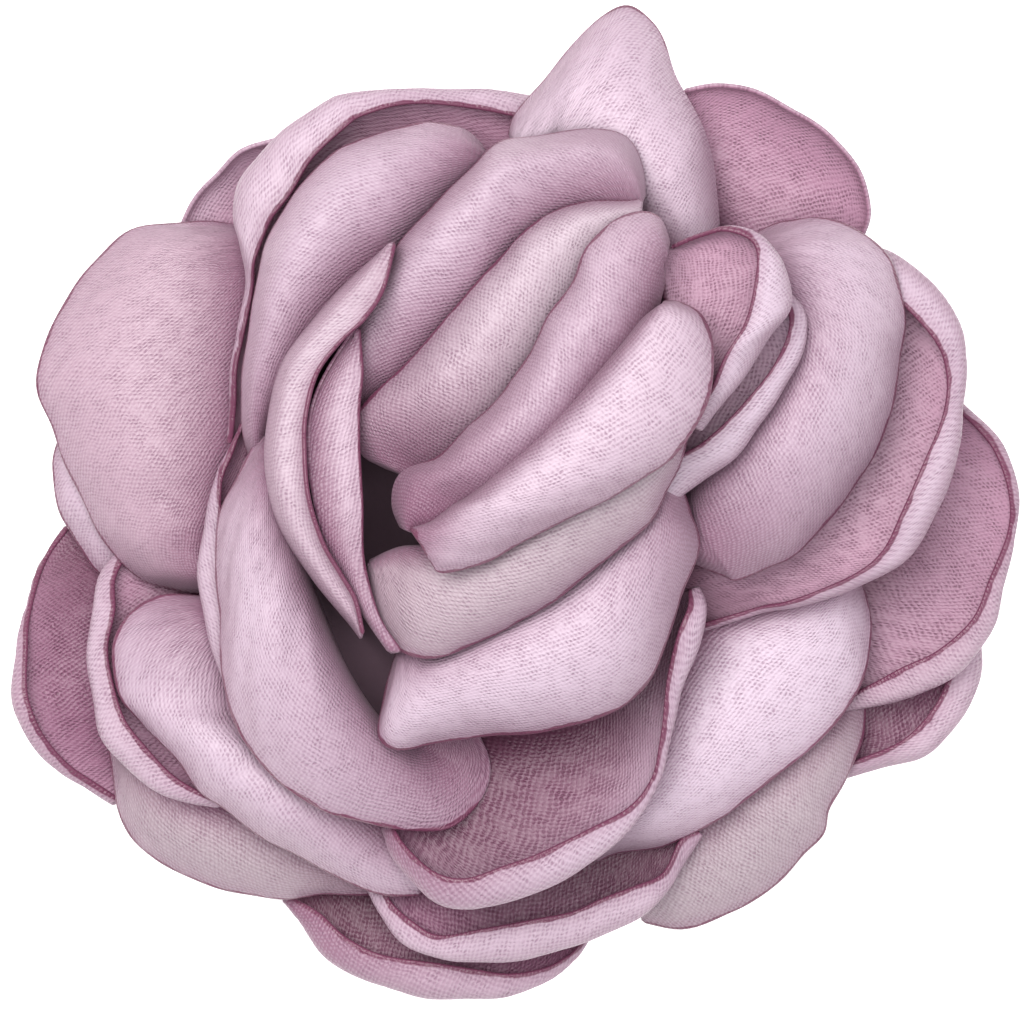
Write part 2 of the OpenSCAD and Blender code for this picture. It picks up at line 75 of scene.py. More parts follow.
def soft_box(name, place, size, watts, tint):
    """A square area light at place, turned so that it shines at the flower."""
    lamp = bpy.data.lights.new(name, "AREA")
    lamp.shape = "SQUARE"
    lamp.size = size
    lamp.energy = watts
    lamp.color = tint
    box = bpy.data.objects.new(name, lamp)
    box.location = place
    box.rotation_euler = (Vector(FLOWER_MIDDLE) - Vector(place)).to_track_quat("-Z", "Y").to_euler()
    bpy.context.collection.objects.link(box)


soft_box("key_box", place=(-0.38, 0.42, 1.25), size=0.85, watts=19.0, tint=WARM_LIGHT)
soft_box("fill_box", place=(0.75, -0.35, 0.95), size=0.80, watts=4.2, tint=COOL_LIGHT)
soft_box("top_box", place=(0.05, -0.1, 1.50), size=0.60, watts=9.5, tint=WHITE)

sky = bpy.data.worlds.new("white_room")
sky.use_nodes = True
sky.node_tree.nodes["Background"].inputs["Color"].default_value = (*WHITE, 1)
sky.node_tree.nodes["Background"].inputs["Strength"].default_value = ROOM_LIGHT
bpy.context.scene.world = sky


def plain_material(name, colour, roughness, metallic=0.0):
    """A material of one colour, and its Principled shader."""
    made = bpy.data.materials.new(name)
    made.use_nodes = True
    shader = made.node_tree.nodes["Principled BSDF"]
    shader.inputs["Base Color"].default_value = (*colour, 1)
    shader.inputs["Roughness"].default_value = roughness
    shader.inputs["Metallic"].default_value = metallic
    return made, shader


TABLE_HALF = 3.0
CARD_COLOUR = (0.97, 0.97, 0.97)
CARD_ROUGHNESS = 0.9
CARD_GLOW = 0.6
table_mesh = bpy.data.meshes.new("table")
table_corners = [(x * TABLE_HALF, y * TABLE_HALF, 0) for x, y in ((-1, -1), (1, -1), (1, 1), (-1, 1))]
table_mesh.from_pydata(table_corners, [], [(0, 1, 2, 3)])
table = bpy.data.objects.new("table", table_mesh)
bpy.context.collection.objects.link(table)
white_card, card_shader = plain_material("white_card", CARD_COLOUR, CARD_ROUGHNESS)
card_shader.inputs["Emission Color"].default_value = (*WHITE, 1)
card_shader.inputs["Emission Strength"].default_value = CARD_GLOW
table_mesh.materials.append(white_card)

# The brooch pin: a steel strip with a block at each end and the stem between them.
# It is glued to the felt, and it stays the part's own solid with a brushed steel finish.

STEEL_COLOUR = (0.62, 0.61, 0.60)
STEEL_SMOOTHEST = 0.22
STEEL_ROUGHEST = 0.40
# The brushed lines run along the pin: the noise's scale along it, across it and down.
BRUSH_LINES = (300, 6000, 6000)


def noise(tree, place, scale, detail=2.0):
    """Noise from 0 to 1 over the places that are linked in."""
    node = tree.nodes.new("ShaderNodeTexNoise")
    node.inputs["Scale"].default_value = scale
    node.inputs["Detail"].default_value = detail
    tree.links.new(place, node.inputs["Vector"])
    return node.outputs["Fac"]


def ranged(tree, value, low, high, to_low=0.0, to_high=1.0, smooth=False):
    """A Map Range node: a value from low to high becomes one from to_low to to_high, and stops there."""
    node = tree.nodes.new("ShaderNodeMapRange")
    if smooth:
        node.interpolation_type = "SMOOTHSTEP"
    settings = {"Value": value, "From Min": low, "From Max": high, "To Min": to_low, "To Max": to_high}
    for socket, setting in settings.items():
        if isinstance(setting, (int, float)):
            node.inputs[socket].default_value = setting
        else:
            tree.links.new(setting, node.inputs[socket])
    return node.outputs["Result"]


steel, steel_shader = plain_material("polished_steel", STEEL_COLOUR, STEEL_SMOOTHEST, metallic=1.0)
steel_tree = steel.node_tree
steel_place = steel_tree.nodes.new("ShaderNodeTexCoord")
steel_brush = steel_tree.nodes.new("ShaderNodeMapping")
steel_brush.inputs["Scale"].default_value = BRUSH_LINES
steel_tree.links.new(steel_place.outputs["Object"], steel_brush.inputs["Vector"])
steel_lines = noise(steel_tree, steel_brush.outputs["Vector"], 1.0)
steel_rough = ranged(steel_tree, steel_lines, 0, 1, STEEL_SMOOTHEST, STEEL_ROUGHEST)
steel_tree.links.new(steel_rough, steel_shader.inputs["Roughness"])
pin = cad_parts["brooch_pin"]
pin.data.materials.clear()
pin.data.materials.append(steel)

# The felt disc: a round of pressed wool felt that every petal is glued to.
# It keeps the part's own solid, with a soft fibrous surface.

FELT_COLOUR = (0.15, 0.09, 0.12)
FELT_ROUGHNESS = 0.95
FIBRE_SCALE = 1800
FIBRE_DEPTH = 0.15 * MM


def bumped(tree, shader, height, depth, strength=1.0):
    """Roughen a shader's surface by a height that varies over it."""
    node = tree.nodes.new("ShaderNodeBump")
    node.inputs["Distance"].default_value = depth
    node.inputs["Strength"].default_value = strength
    tree.links.new(height, node.inputs["Height"])
    tree.links.new(node.outputs["Normal"], shader.inputs["Normal"])


felt, felt_shader = plain_material("pressed_felt", FELT_COLOUR, FELT_ROUGHNESS)
felt_place = felt.node_tree.nodes.new("ShaderNodeTexCoord")
felt_fibres = noise(felt.node_tree, felt_place.outputs["Object"], FIBRE_SCALE, 6)
bumped(felt.node_tree, felt_shader, felt_fibres, FIBRE_DEPTH)
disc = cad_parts["backing_disc"]
disc.data.materials.clear()
disc.data.materials.append(felt)

# The lowest petals: pieces of polyester satin, cut round, singed over a flame and curled by the heat.
# All the petals are made as these three are: cupped or domed sheets, pale outside and mauve inside,
# with a thin dark bead where the rim has melted. These three peep out from under all the rest.

# Sizes of the cloth, its weave and its singed rim, in millimetres; a singe below nothing leaves no brown.
CLOTH_HALF = 0.14
BEAD_WIDTH = 0.25
RIB_PITCH = 0.30
FLOAT_PITCH = 0.34
WEAVE_DEPTH = 0.06
SINGE_BLUR = 0.12
FLUSH_INNER, FLUSH_OUTER = 1.3, 0.2
NOT_SINGED = -0.4
# The singe wavers along the rim: its width times a noise of this scale, stretched and shifted by these.
WAVER_SCALE = 0.5
WAVER_STRETCH, WAVER_SHIFT = 3.2, -0.7
# The rows of the weave stray slowly and quickly: a noise's scale, and how far they stray in millimetres.
SLOW_BEND = (0.4, 0.5)
QUICK_BEND = (3.2, 0.24)
# The pores come in patches: a noise's scale, the values at which they are faintest and full, and how much
# of a pore is left where they are faintest.
PORE_PATCHES = 0.9
PORES_FAINT, PORES_FULL = 0.34, 0.66
FAINTEST_PORE = 0.15
# The ribs' share of the weave's height, the scale and height of its unevenness, and how strongly it shows.
RIB_HEIGHT = 0.12
UNEVEN_SCALE, UNEVEN_HEIGHT = 4.5, 0.55
WEAVE_STRENGTH = 0.85
# A unit of the cloth's UV map is this much cloth, and one wave is this angle.
MAP_UNIT = 100.0
ONE_TURN = 6.2832

# Colours of the outside: plain, warmer, creamy, greyer, the painted shade on the flank where it stands
# steep, and the weave's floats, lighter by a painted sheen, and its dark pores.
PALE = (0.605, 0.475, 0.58)
PALE_WARM = (0.47, 0.32, 0.395)
CREAM = (0.54, 0.43, 0.48)
CREAM_GREY = (0.38, 0.31, 0.34)
STEEP_SHADE = (0.28, 0.155, 0.22)
FLOAT = (0.70, 0.56, 0.66)
PORE = (0.24, 0.12, 0.19)
# Colours of the inside, whose mauve is partly the satin's own and partly painted shade, with floats made
# rosier and lighter as a painted sheen; then the painted shade at the roots on each side, whose outside
# colour also darkens the heat's flush by the rim; and the burnt rim.
ROSE = (0.46, 0.26, 0.36)
ROSE_FLOAT = (0.50, 0.30, 0.40)
MAUVE = (0.20, 0.065, 0.13)
PORE_INSIDE = (0.09, 0.03, 0.055)
PAINTED_SHADE_AND_FLUSH = (0.205, 0.073, 0.134)
PAINTED_SHADE_INSIDE = (0.095, 0.023, 0.05)
BURNT = (0.16, 0.045, 0.09)
# How strongly each layer of colour covers the one before it.
ROSY_FLOATS = 0.15
FLUSH_SHARE = 0.35
STEEP_SHADE_SHARE, STEEP_SHADE_INSIDE = 0.75, 0.15
FLOATS_OUTSIDE, FLOATS_INSIDE = 0.24, 0.04
PORE_SHARE = 0.72
# The cloth counts as lying flat above the first level and as standing steep below the second.
FLAT_LEVEL, STEEP_LEVEL = 0.87, 0.38
# The satin's gloss, as woven and where the rim has melted, and the sheen of its fibres.
WOVEN_ROUGHNESS, MELTED_ROUGHNESS = 0.42, 0.30
SATIN_SHINE = 0.43
SHEEN, SHEEN_ROUGHNESS = 0.06, 0.35
SHEEN_TINT = (1.0, 0.93, 0.97)


def number(tree, operation, first, second=None, third=None):
    """One Math node of a tree: each input is a socket or a plain number."""
    node = tree.nodes.new("ShaderNodeMath")
    node.operation = operation
    for place, value in enumerate((first, second, third)):
        if value is None:
            continue
        if isinstance(value, (int, float)):
            node.inputs[place].default_value = value
        else:
            tree.links.new(value, node.inputs[place])
    return node.outputs[0]


def empty_group(name, inputs, outputs):
    """A shader node group with its sockets, given as names and kinds, and its two end nodes."""
    tree = bpy.data.node_groups.new(name, "ShaderNodeTree")
    for way, sockets in (("INPUT", inputs), ("OUTPUT", outputs)):
        for title, kind in sockets.items():
            tree.interface.new_socket(name=title, in_out=way, socket_type="NodeSocket" + kind)
    return tree, tree.nodes.new("NodeGroupInput"), tree.nodes.new("NodeGroupOutput")


def weave_group():
    """Satin weave: staggered pores between the floats, and the floats' fine ribs, in millimetres of cloth.

    rib = cos(2 pi y / rib pitch); float = cos(2 pi (x / float pitch + y / (2 rib pitch)));
    a pore lies where both are low and a bright float where both are high. Slow noise bends the rows and
    makes the pores come and go.
    """
    tree, start, end = empty_group(
        "satin_weave",
        {"Cloth": "Vector", "Rib Pitch": "Float", "Float Pitch": "Float"},
        {"Height": "Float", "Pores": "Float", "Floats": "Float"},
    )
    place = start.outputs["Cloth"]
    axes = tree.nodes.new("ShaderNodeSeparateXYZ")
    tree.links.new(place, axes.inputs["Vector"])

    def strayed(scale, width):
        """How far the rows stray: (noise - 1/2) * width."""
        return number(tree, "MULTIPLY_ADD", noise(tree, place, scale, 1), width, -width / 2)

    stray = number(tree, "ADD", strayed(*SLOW_BEND), strayed(*QUICK_BEND))

    def turns(axis, pitch):
        """The angle that a wave of the named pitch has come to along an axis of the cloth."""
        angle = number(tree, "MULTIPLY", number(tree, "ADD", axes.outputs[axis], stray), ONE_TURN)
        return number(tree, "DIVIDE", angle, start.outputs[pitch])

    rib_turn = turns("Y", "Rib Pitch")
    rib = number(tree, "COSINE", rib_turn)
    floats = number(tree, "COSINE", number(tree, "MULTIPLY_ADD", rib_turn, 0.5, turns("X", "Float Pitch")))
    low_rib = number(tree, "MULTIPLY_ADD", rib, -0.5, 0.5)
    low_float = number(tree, "MULTIPLY_ADD", floats, -0.5, 0.5)
    patches = noise(tree, place, PORE_PATCHES, 6)
    clear = ranged(tree, patches, PORES_FAINT, PORES_FULL, to_low=FAINTEST_PORE)
    pore = number(tree, "MULTIPLY", number(tree, "MULTIPLY", low_rib, low_float), clear)
    high_rib = number(tree, "SUBTRACT", 1.0, low_rib)
    high_float = number(tree, "SUBTRACT", 1.0, low_float)
    height = number(tree, "SUBTRACT", number(tree, "MULTIPLY_ADD", rib, RIB_HEIGHT, 0.5), pore)
    uneven = number(tree, "MULTIPLY", noise(tree, place, UNEVEN_SCALE, 2), UNEVEN_HEIGHT)
    tree.links.new(pore, end.inputs["Pores"])
    tree.links.new(number(tree, "MULTIPLY", high_rib, high_float), end.inputs["Floats"])
    tree.links.new(number(tree, "ADD", height, uneven), end.inputs["Height"])
    return tree


def singe_group():
    """Singed rim, from the distance to the rim in millimetres.

    Burnt is 1 nearer to the rim than a wavering width and 0 further in. Flushed falls from 1 to 0 over
    the next millimetre or so, where the heat has only darkened the cloth.
    """
    tree, start, end = empty_group(
        "singed_rim",
        {"Distance": "Float", "Width": "Float", "Cloth": "Vector"},
        {"Burnt": "Float", "Flushed": "Float"},
    )
    distance = start.outputs["Distance"]
    waver = noise(tree, start.outputs["Cloth"], WAVER_SCALE, 3)
    waver = number(tree, "MULTIPLY_ADD", waver, WAVER_STRETCH, WAVER_SHIFT)
    width = number(tree, "MULTIPLY", start.outputs["Width"], waver)
    burnt = ranged(tree, distance, number(tree, "ADD", width, SINGE_BLUR), width, smooth=True)
    flushed = ranged(tree, distance, FLUSH_INNER, FLUSH_OUTER, smooth=True)
    tree.links.new(burnt, end.inputs["Burnt"])
    tree.links.new(flushed, end.inputs["Flushed"])
    return tree


def blended(tree, share, first, second):
    """A Mix node of two colours: each is a socket or a plain colour."""
    node = tree.nodes.new("ShaderNodeMix")
    node.data_type = "RGBA"
    tree.links.new(share, node.inputs["Factor"])
    for name, value in (("A", first), ("B", second)):
        place = [s for s in node.inputs if s.name == name and s.type == "RGBA"][0]
        if isinstance(value, tuple):
            place.default_value = (*value, 1)
        else:
            tree.links.new(value, place)
    return [s for s in node.outputs if s.type == "RGBA"][0]


def attribute(tree, name):
    """The value of a vertex attribute."""
    node = tree.nodes.new("ShaderNodeAttribute")
    node.attribute_name = name
    return node.outputs["Fac"]


def singed_satin():
    """Satin, pale outside and mauve inside, with its weave, painted shade at its roots and its singed rim.

    The colour is laid on in layers, each over the last by a share from 0 to 1: the outside or the inside,
    whose mauve is partly painted shade and paler by the rim as painted light; the painted shade at the root,
    the ends and under a rolled lip; the flush by the rim; painted shade on the flank where the outside stands
    steep; the floats, lighter by a painted sheen; the dark pores and the burnt rim. The petals' attributes
    say where each one goes.
    """
    made, shader = plain_material("singed_satin", PALE, WOVEN_ROUGHNESS)
    shader.inputs["Sheen Weight"].default_value = SHEEN
    shader.inputs["Sheen Roughness"].default_value = SHEEN_ROUGHNESS
    shader.inputs["Sheen Tint"].default_value = (*SHEEN_TINT, 1)
    shader.inputs["Specular IOR Level"].default_value = SATIN_SHINE
    tree = made.node_tree
    link = tree.links.new

    cloth = tree.nodes.new("ShaderNodeUVMap")
    cloth.uv_map = "cloth"
    scaled = tree.nodes.new("ShaderNodeVectorMath")
    scaled.operation = "SCALE"
    scaled.inputs["Scale"].default_value = MAP_UNIT
    link(cloth.outputs["UV"], scaled.inputs[0])
    weave = tree.nodes.new("ShaderNodeGroup")
    weave.node_tree = weave_group()
    weave.inputs["Rib Pitch"].default_value = RIB_PITCH
    weave.inputs["Float Pitch"].default_value = FLOAT_PITCH
    link(scaled.outputs["Vector"], weave.inputs["Cloth"])
    edge = tree.nodes.new("ShaderNodeGroup")
    edge.node_tree = singe_group()
    link(scaled.outputs["Vector"], edge.inputs["Cloth"])
    link(attribute(tree, "rim_distance"), edge.inputs["Distance"])
    link(attribute(tree, "singe_width"), edge.inputs["Width"])

    tone = attribute(tree, "tone")
    back = attribute(tree, "back")
    warm = blended(tree, tone, PALE, PALE_WARM)
    creamy = blended(tree, tone, CREAM, CREAM_GREY)
    outside = blended(tree, attribute(tree, "cream"), warm, creamy)
    # The inside's mauve is partly its own colour and partly painted shade; its floats are rosier, a painted
    # sheen.
    inside = blended(tree, attribute(tree, "inside"), ROSE, MAUVE)
    inside = blended(tree, number(tree, "MULTIPLY", weave.outputs["Floats"], ROSY_FLOATS), inside, ROSE_FLOAT)
    colour = blended(tree, back, outside, inside)
    # Painted shade at the roots, at the ends and under a rolled lip.
    colour = blended(tree, attribute(tree, "depth"), colour, blended(tree, back, PAINTED_SHADE_AND_FLUSH, PAINTED_SHADE_INSIDE))
    colour = blended(tree, number(tree, "MULTIPLY", edge.outputs["Flushed"], FLUSH_SHARE), colour, PAINTED_SHADE_AND_FLUSH)

    own = tree.nodes.new("ShaderNodeTexCoord")
    normal = tree.nodes.new("ShaderNodeSeparateXYZ")
    link(own.outputs["Normal"], normal.inputs["Vector"])
    # level is 1 where the cloth lies flat and 0 where it stands upright.
    level = number(tree, "ABSOLUTE", normal.outputs["Z"])
    # Painted shade on the steep flanks: the outside darkens where it stands steep, the inside only a little.
    steep_shade = ranged(tree, level, FLAT_LEVEL, STEEP_LEVEL, to_high=STEEP_SHADE_SHARE)
    outer = number(tree, "MULTIPLY_ADD", back, STEEP_SHADE_INSIDE - 1, 1.0)
    colour = blended(tree, number(tree, "MULTIPLY", steep_shade, outer), colour, STEEP_SHADE)

    # The weave's floats are lighter, a painted sheen, more on the outside than on the inside.
    shine = number(tree, "MULTIPLY_ADD", back, FLOATS_INSIDE - FLOATS_OUTSIDE, FLOATS_OUTSIDE)
    colour = blended(tree, number(tree, "MULTIPLY", weave.outputs["Floats"], shine), colour, FLOAT)
    pore_share = number(tree, "MULTIPLY", weave.outputs["Pores"], PORE_SHARE)
    colour = blended(tree, pore_share, colour, blended(tree, back, PORE, PORE_INSIDE))
    colour = blended(tree, edge.outputs["Burnt"], colour, BURNT)
    link(colour, shader.inputs["Base Color"])
    roughness = ranged(tree, edge.outputs["Burnt"], 0, 1, WOVEN_ROUGHNESS, MELTED_ROUGHNESS)
    link(roughness, shader.inputs["Roughness"])
    bumped(tree, shader, weave.outputs["Height"], WEAVE_DEPTH * MM, WEAVE_STRENGTH)
    return made


satin = singed_satin()

# How a petal stands, in millimetres: its foot ends a little over the felt, and the lowest petals start
# below the felt's top, by its edge. A lip rises this much for its width.
FELT_TOP = round(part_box("backing_disc")[1][2] / MM, 3)
ROOT_Z = FELT_TOP + 0.7
LOW_START = FELT_TOP - 1.0
LIP_RISE = 0.7
# The soft folds, a row for each: its length across the petal and along it, in millimetres for each
# radian, and its share of the folds' height. The folds grow by a power from the foot to the rim.
SOFT_FOLDS = ((3.1, np.inf, 1.0), (1.7, 4.0, 0.6), (0.8, 1.5, 0.35))
FOLD_GROWTH = 1.5
# How finely a petal is made: points along each rib, and then columns and rows of the cloth. The rim's rows
# are in millimetres from the rim, and closer on a petal that shows less than the rim's band.
STEM_POINTS, BLADE_POINTS, LIP_POINTS = 60, 50, 30
COLUMN_PITCH = 0.42
FEWEST_COLUMNS, MOST_COLUMNS = 44, 110
RIM_ROWS = (0, 0.08, 0.16, 0.26, 0.4, 0.6, 0.8)
RIM_BAND = 1.6
LEAST_SHOWN = 0.2
BLADE_ROWS = 59
FOOT_ROWS = 5
WELL_ABOVE_FOOT = slice(FOOT_ROWS + 2, 40)
# The bead at the melted rim, as a share of the cloth, and the rim's half circle, in degrees.
BEAD = 0.25
RIM_TURNS = (60, 30, 0, -30, -60)
# The singe fades in and out over this share of the rim, and a petal that curls further than this is a cup.
SINGE_FADE = 0.06
CUP_CURL = 75
# The painted shade's strength at the root, the powers by which it fades from the root and from the ends,
# and how much paler the inside is painted at the rim, as painted light.
ROOT_SHADE_SHARE = 0.95
ROOT_FADES, ENDS_FADE = 2.5, 1.5
RIM_PALER = 0.6
# The least width of a lip and the least reach of its fold's shade, in millimetres, and where the fold lies
# and how much further its shade reaches for the lip's width.
LEAST_LIP = 0.05
FOLD_BLUR = 0.3
FOLD_PLACE, FOLD_REACH = 1.4, 0.5
# Each rib's distances are kept this far from the next one's, in millimetres, so that one curve holds all.
RIB_APART = 1000.0


def spline(rows, t):
    """A smooth curve through the rows of a table, at shares t of the way along it.

    Between two rows, b and c, with a before and d after them, it is the cubic that leaves b by the slope
    (c - a) / 2 and comes to c by (d - b) / 2.
    """
    rows = np.asarray(rows, float)
    last = len(rows) - 1
    place = np.minimum(t * last, last - 1e-6)
    i = place.astype(int)
    f = (place - i)[:, None]
    a, b, c, d = (rows[np.clip(i + k, 0, last)] for k in (-1, 0, 1, 2))
    return b + 0.5 * f * (c - a + f * (2 * a - 5 * b + 4 * c - d + f * (3 * b - a - 3 * c + d)))


def ribs(root, rim, crest_at, steep, curl, start):
    """The lines of a petal from its root to its rim, in millimetres, and the length of its foot.

    The foot goes straight down to ROOT_Z from the height at which the root starts: start, or the root
    row's third number where it has one.
    Stem, a quarter turn: out by crest_at * reach * (1 - cos^(2/steep)), and the share sin^(2/steep) of
    the way up to the crest.
    Blade, a turn of curl degrees: the share sin(turned) / sin(curl) of the way out to the rim, and the
    share (1 - cos(turned)) / (1 - cos(curl)) of the way to its height.
    Lip, a quarter turn: back by width * (1 - cos) and up by LIP_RISE * width * sin.
    """
    start = root[:, 2:3] if root.shape[1] > 2 else np.full((len(root), 1), float(start))
    root = root[:, :2]
    way = rim[:, :2] - root
    reach = np.hypot(way[:, 0], way[:, 1])[:, None]
    way = way / reach
    edge, crest = rim[:, 2:3], rim[:, 3:4]
    turned = np.linspace(0, np.pi / 2, STEM_POINTS)[None, :]
    out = crest_at * reach * (1 - np.cos(turned) ** (2 / steep))
    up = start + (crest - start) * np.sin(turned) ** (2 / steep)
    turned = np.radians(curl) * np.linspace(0, 1, BLADE_POINTS)[None, 1:]
    share = crest_at + (1 - crest_at) * np.sin(turned) / np.sin(np.radians(curl))
    rise = (1 - np.cos(turned)) / (1 - np.cos(np.radians(curl)))
    out = np.hstack([out, reach * share])
    up = np.hstack([up, crest + (edge - crest) * rise])
    if rim.shape[1] > 4:
        turned = np.linspace(0, np.pi / 2, LIP_POINTS)[None, 1:]
        lip = rim[:, 4:5]
        out = np.hstack([out, reach - lip * (1 - np.cos(turned))])
        up = np.hstack([up, edge + LIP_RISE * lip * np.sin(turned)])
    foot = np.minimum(start, ROOT_Z)
    out = np.hstack([np.zeros_like(foot), out])
    up = np.hstack([foot, up])
    flat = root[:, None, :] + way[:, None, :] * out[:, :, None]
    return np.dstack([flat, up]), start - foot


def row_distances(length, foot):
    """How far in from the rim each row of points lies, from the root's row to the rim's.

    The rows are closest together near the rim, even from there to the foot, and a few go down the foot.
    The second thing handed back is how much of each rib shows above its foot.
    """
    shown = np.maximum(length - foot, LEAST_SHOWN)
    near = np.array(RIM_ROWS) * np.minimum(1, shown / RIM_BAND)
    far = near[:, -1:] + (shown - near[:, -1:]) * np.linspace(0, 1, BLADE_ROWS)[None, 1:]
    down = shown + (length - shown) * np.linspace(0, 1, FOOT_ROWS + 1)[None, 1:]
    return np.hstack([near, far, down])[:, ::-1], shown


def at_distances(lines, distance):
    """The points of each line at the given distances along it: all the lines are read off as one long curve.

    A line's distances are shifted by its number * RIB_APART, which is longer than any line.
    """
    step = np.linalg.norm(np.diff(lines, axis=1), axis=2)
    arc = np.hstack([np.zeros((len(lines), 1)), np.cumsum(step, axis=1)])
    shift = RIB_APART * np.arange(len(lines))[:, None]
    wanted = (distance + shift).ravel()
    known = (arc + shift).ravel()
    found = [np.interp(wanted, known, lines[:, :, k].ravel()) for k in range(3)]
    return np.stack(found, axis=-1).reshape(distance.shape + (3,))


def unit(way):
    """Arrows of length 1."""
    return way / np.maximum(np.linalg.norm(way, axis=-1, keepdims=True), 1e-9)


def upper_normals(grid):
    """Normals of a grid of points on its upper side, and whether its own order gives the lower side."""
    normal = unit(np.cross(np.gradient(grid, axis=0), np.gradient(grid, axis=1)))
    flip = normal[:, WELL_ABOVE_FOOT, 2].mean() < 0
    return (-normal if flip else normal), flip


def faded(distance, reach, power=2):
    """1 at no distance and less the further away, by exp(-(distance / reach)^power)."""
    return np.exp(-((distance / reach) ** power))


def waved(grid, place, inward, shown, wave, random):
    """The cloth pushed along its normals by soft folds, which grow from its foot to its rim.

    Each fold is share * sin(place / across + inward / along + a random phase), and together they are
    pushed out by wave / 2 * (1 - inward / shown)^FOLD_GROWTH.
    """
    swell = 0.0
    for (across, along, share), phase in zip(SOFT_FOLDS, random.uniform(0, 6.28, len(SOFT_FOLDS))):
        swell = swell + share * np.sin(place / across + inward / along + phase)
    loose = np.clip(1 - inward / shown, 0, 1) ** FOLD_GROWTH
    return grid + upper_normals(grid)[0] * (wave * loose * swell)[:, :, None] * 0.5


def round_rim(values, edge=None):
    """Values of the grid's points carried over the upper side, round the rim and back along the lower side.

    The points round the rim have the value edge, or the last row's where none is given.
    """
    turn = np.repeat(values[:, -1:], len(RIM_TURNS), axis=1)
    if edge is not None:
        turn = np.full_like(turn, edge)
    return np.concatenate([values, turn, values[:, ::-1]], axis=1)


def both_sides(grid, normal, inward):
    """The points of the closed sheet: one ring for each rib.

    Each side lies half the cloth's thickness from the grid, and more at the rim by a bead that fades
    over BEAD_WIDTH. A half circle joins the two sides there, and they close to a line at the root and at
    both ends.
    """
    half = CLOTH_HALF * (1 + BEAD * faded(inward, BEAD_WIDTH))[:, :, None]
    outer = unit(grid[:, -1] - grid[:, -2])
    turn = np.radians(RIM_TURNS)[None, :, None]
    bent = np.sin(turn) * normal[:, -1:] + np.cos(turn) * outer[:, None]
    edge = grid[:, -1:] + half[:, -1:] * bent
    ring = np.concatenate([grid + half * normal, edge, (grid - half * normal)[:, ::-1]], axis=1)
    middle = round_rim(grid)
    ring[:, 0] = ring[:, -1] = middle[:, 0]
    ring[0] = middle[0]
    ring[-1] = middle[-1]
    return ring


def sheet_mesh(name, ring, flip):
    """The closed sheet as a mesh whose faces point outwards.

    The points that lie in one place, at the root and at both ends, are one. Handed back with the mesh are
    the numbers of the ring's points that it holds, and of those at the corners of its faces.
    """
    count, around = ring.shape[:2]
    index = np.arange(count * around).reshape(count, around)
    index[:, -1] = index[:, 0]
    mirror = np.minimum(np.arange(around), around - 1 - np.arange(around))
    index[0] = index[0][mirror]
    index[-1] = index[-1][mirror]
    quads = np.stack([index[:-1, :-1], index[1:, :-1], index[1:, 1:], index[:-1, 1:]], axis=-1).reshape(-1, 4)
    if flip:
        quads = quads[:, ::-1]
    kept, corners = np.unique(quads, return_inverse=True)
    mesh = bpy.data.meshes.new(name)
    mesh.vertices.add(len(kept))
    mesh.vertices.foreach_set("co", (ring.reshape(-1, 3)[kept] * MM).ravel())
    mesh.loops.add(quads.size)
    mesh.loops.foreach_set("vertex_index", corners.ravel())
    mesh.polygons.add(len(quads))
    mesh.polygons.foreach_set("loop_start", np.arange(len(quads)) * 4)
    mesh.polygons.foreach_set("use_smooth", np.ones(len(quads), bool))
    mesh.update(calc_edges=True)
    return mesh, kept, quads


def cloth_map(lines, grid, place, along, grain):
    """Where each point of the grid lies on the flat cloth, in millimetres, with the weave turned by grain.

    A point lies at place * beside + along * heading: place is measured across the petal and along from
    its root, heading is the middle rib's way out and beside the petal's way across, seen from above.
    """
    mid = len(grid) // 2
    half_way = grid.shape[1] // 2
    heading = unit(lines[mid, -1, :2] - lines[mid, 0, :2])
    beside = unit(grid[mid + 1, half_way, :2] - grid[mid - 1, half_way, :2])
    x, y = np.moveaxis(place[:, :, None] * beside + along[mid][None, :, None] * heading, -1, 0)
    turned = np.radians(grain)
    return np.dstack([x * np.cos(turned) + y * np.sin(turned), y * np.cos(turned) - x * np.sin(turned)])


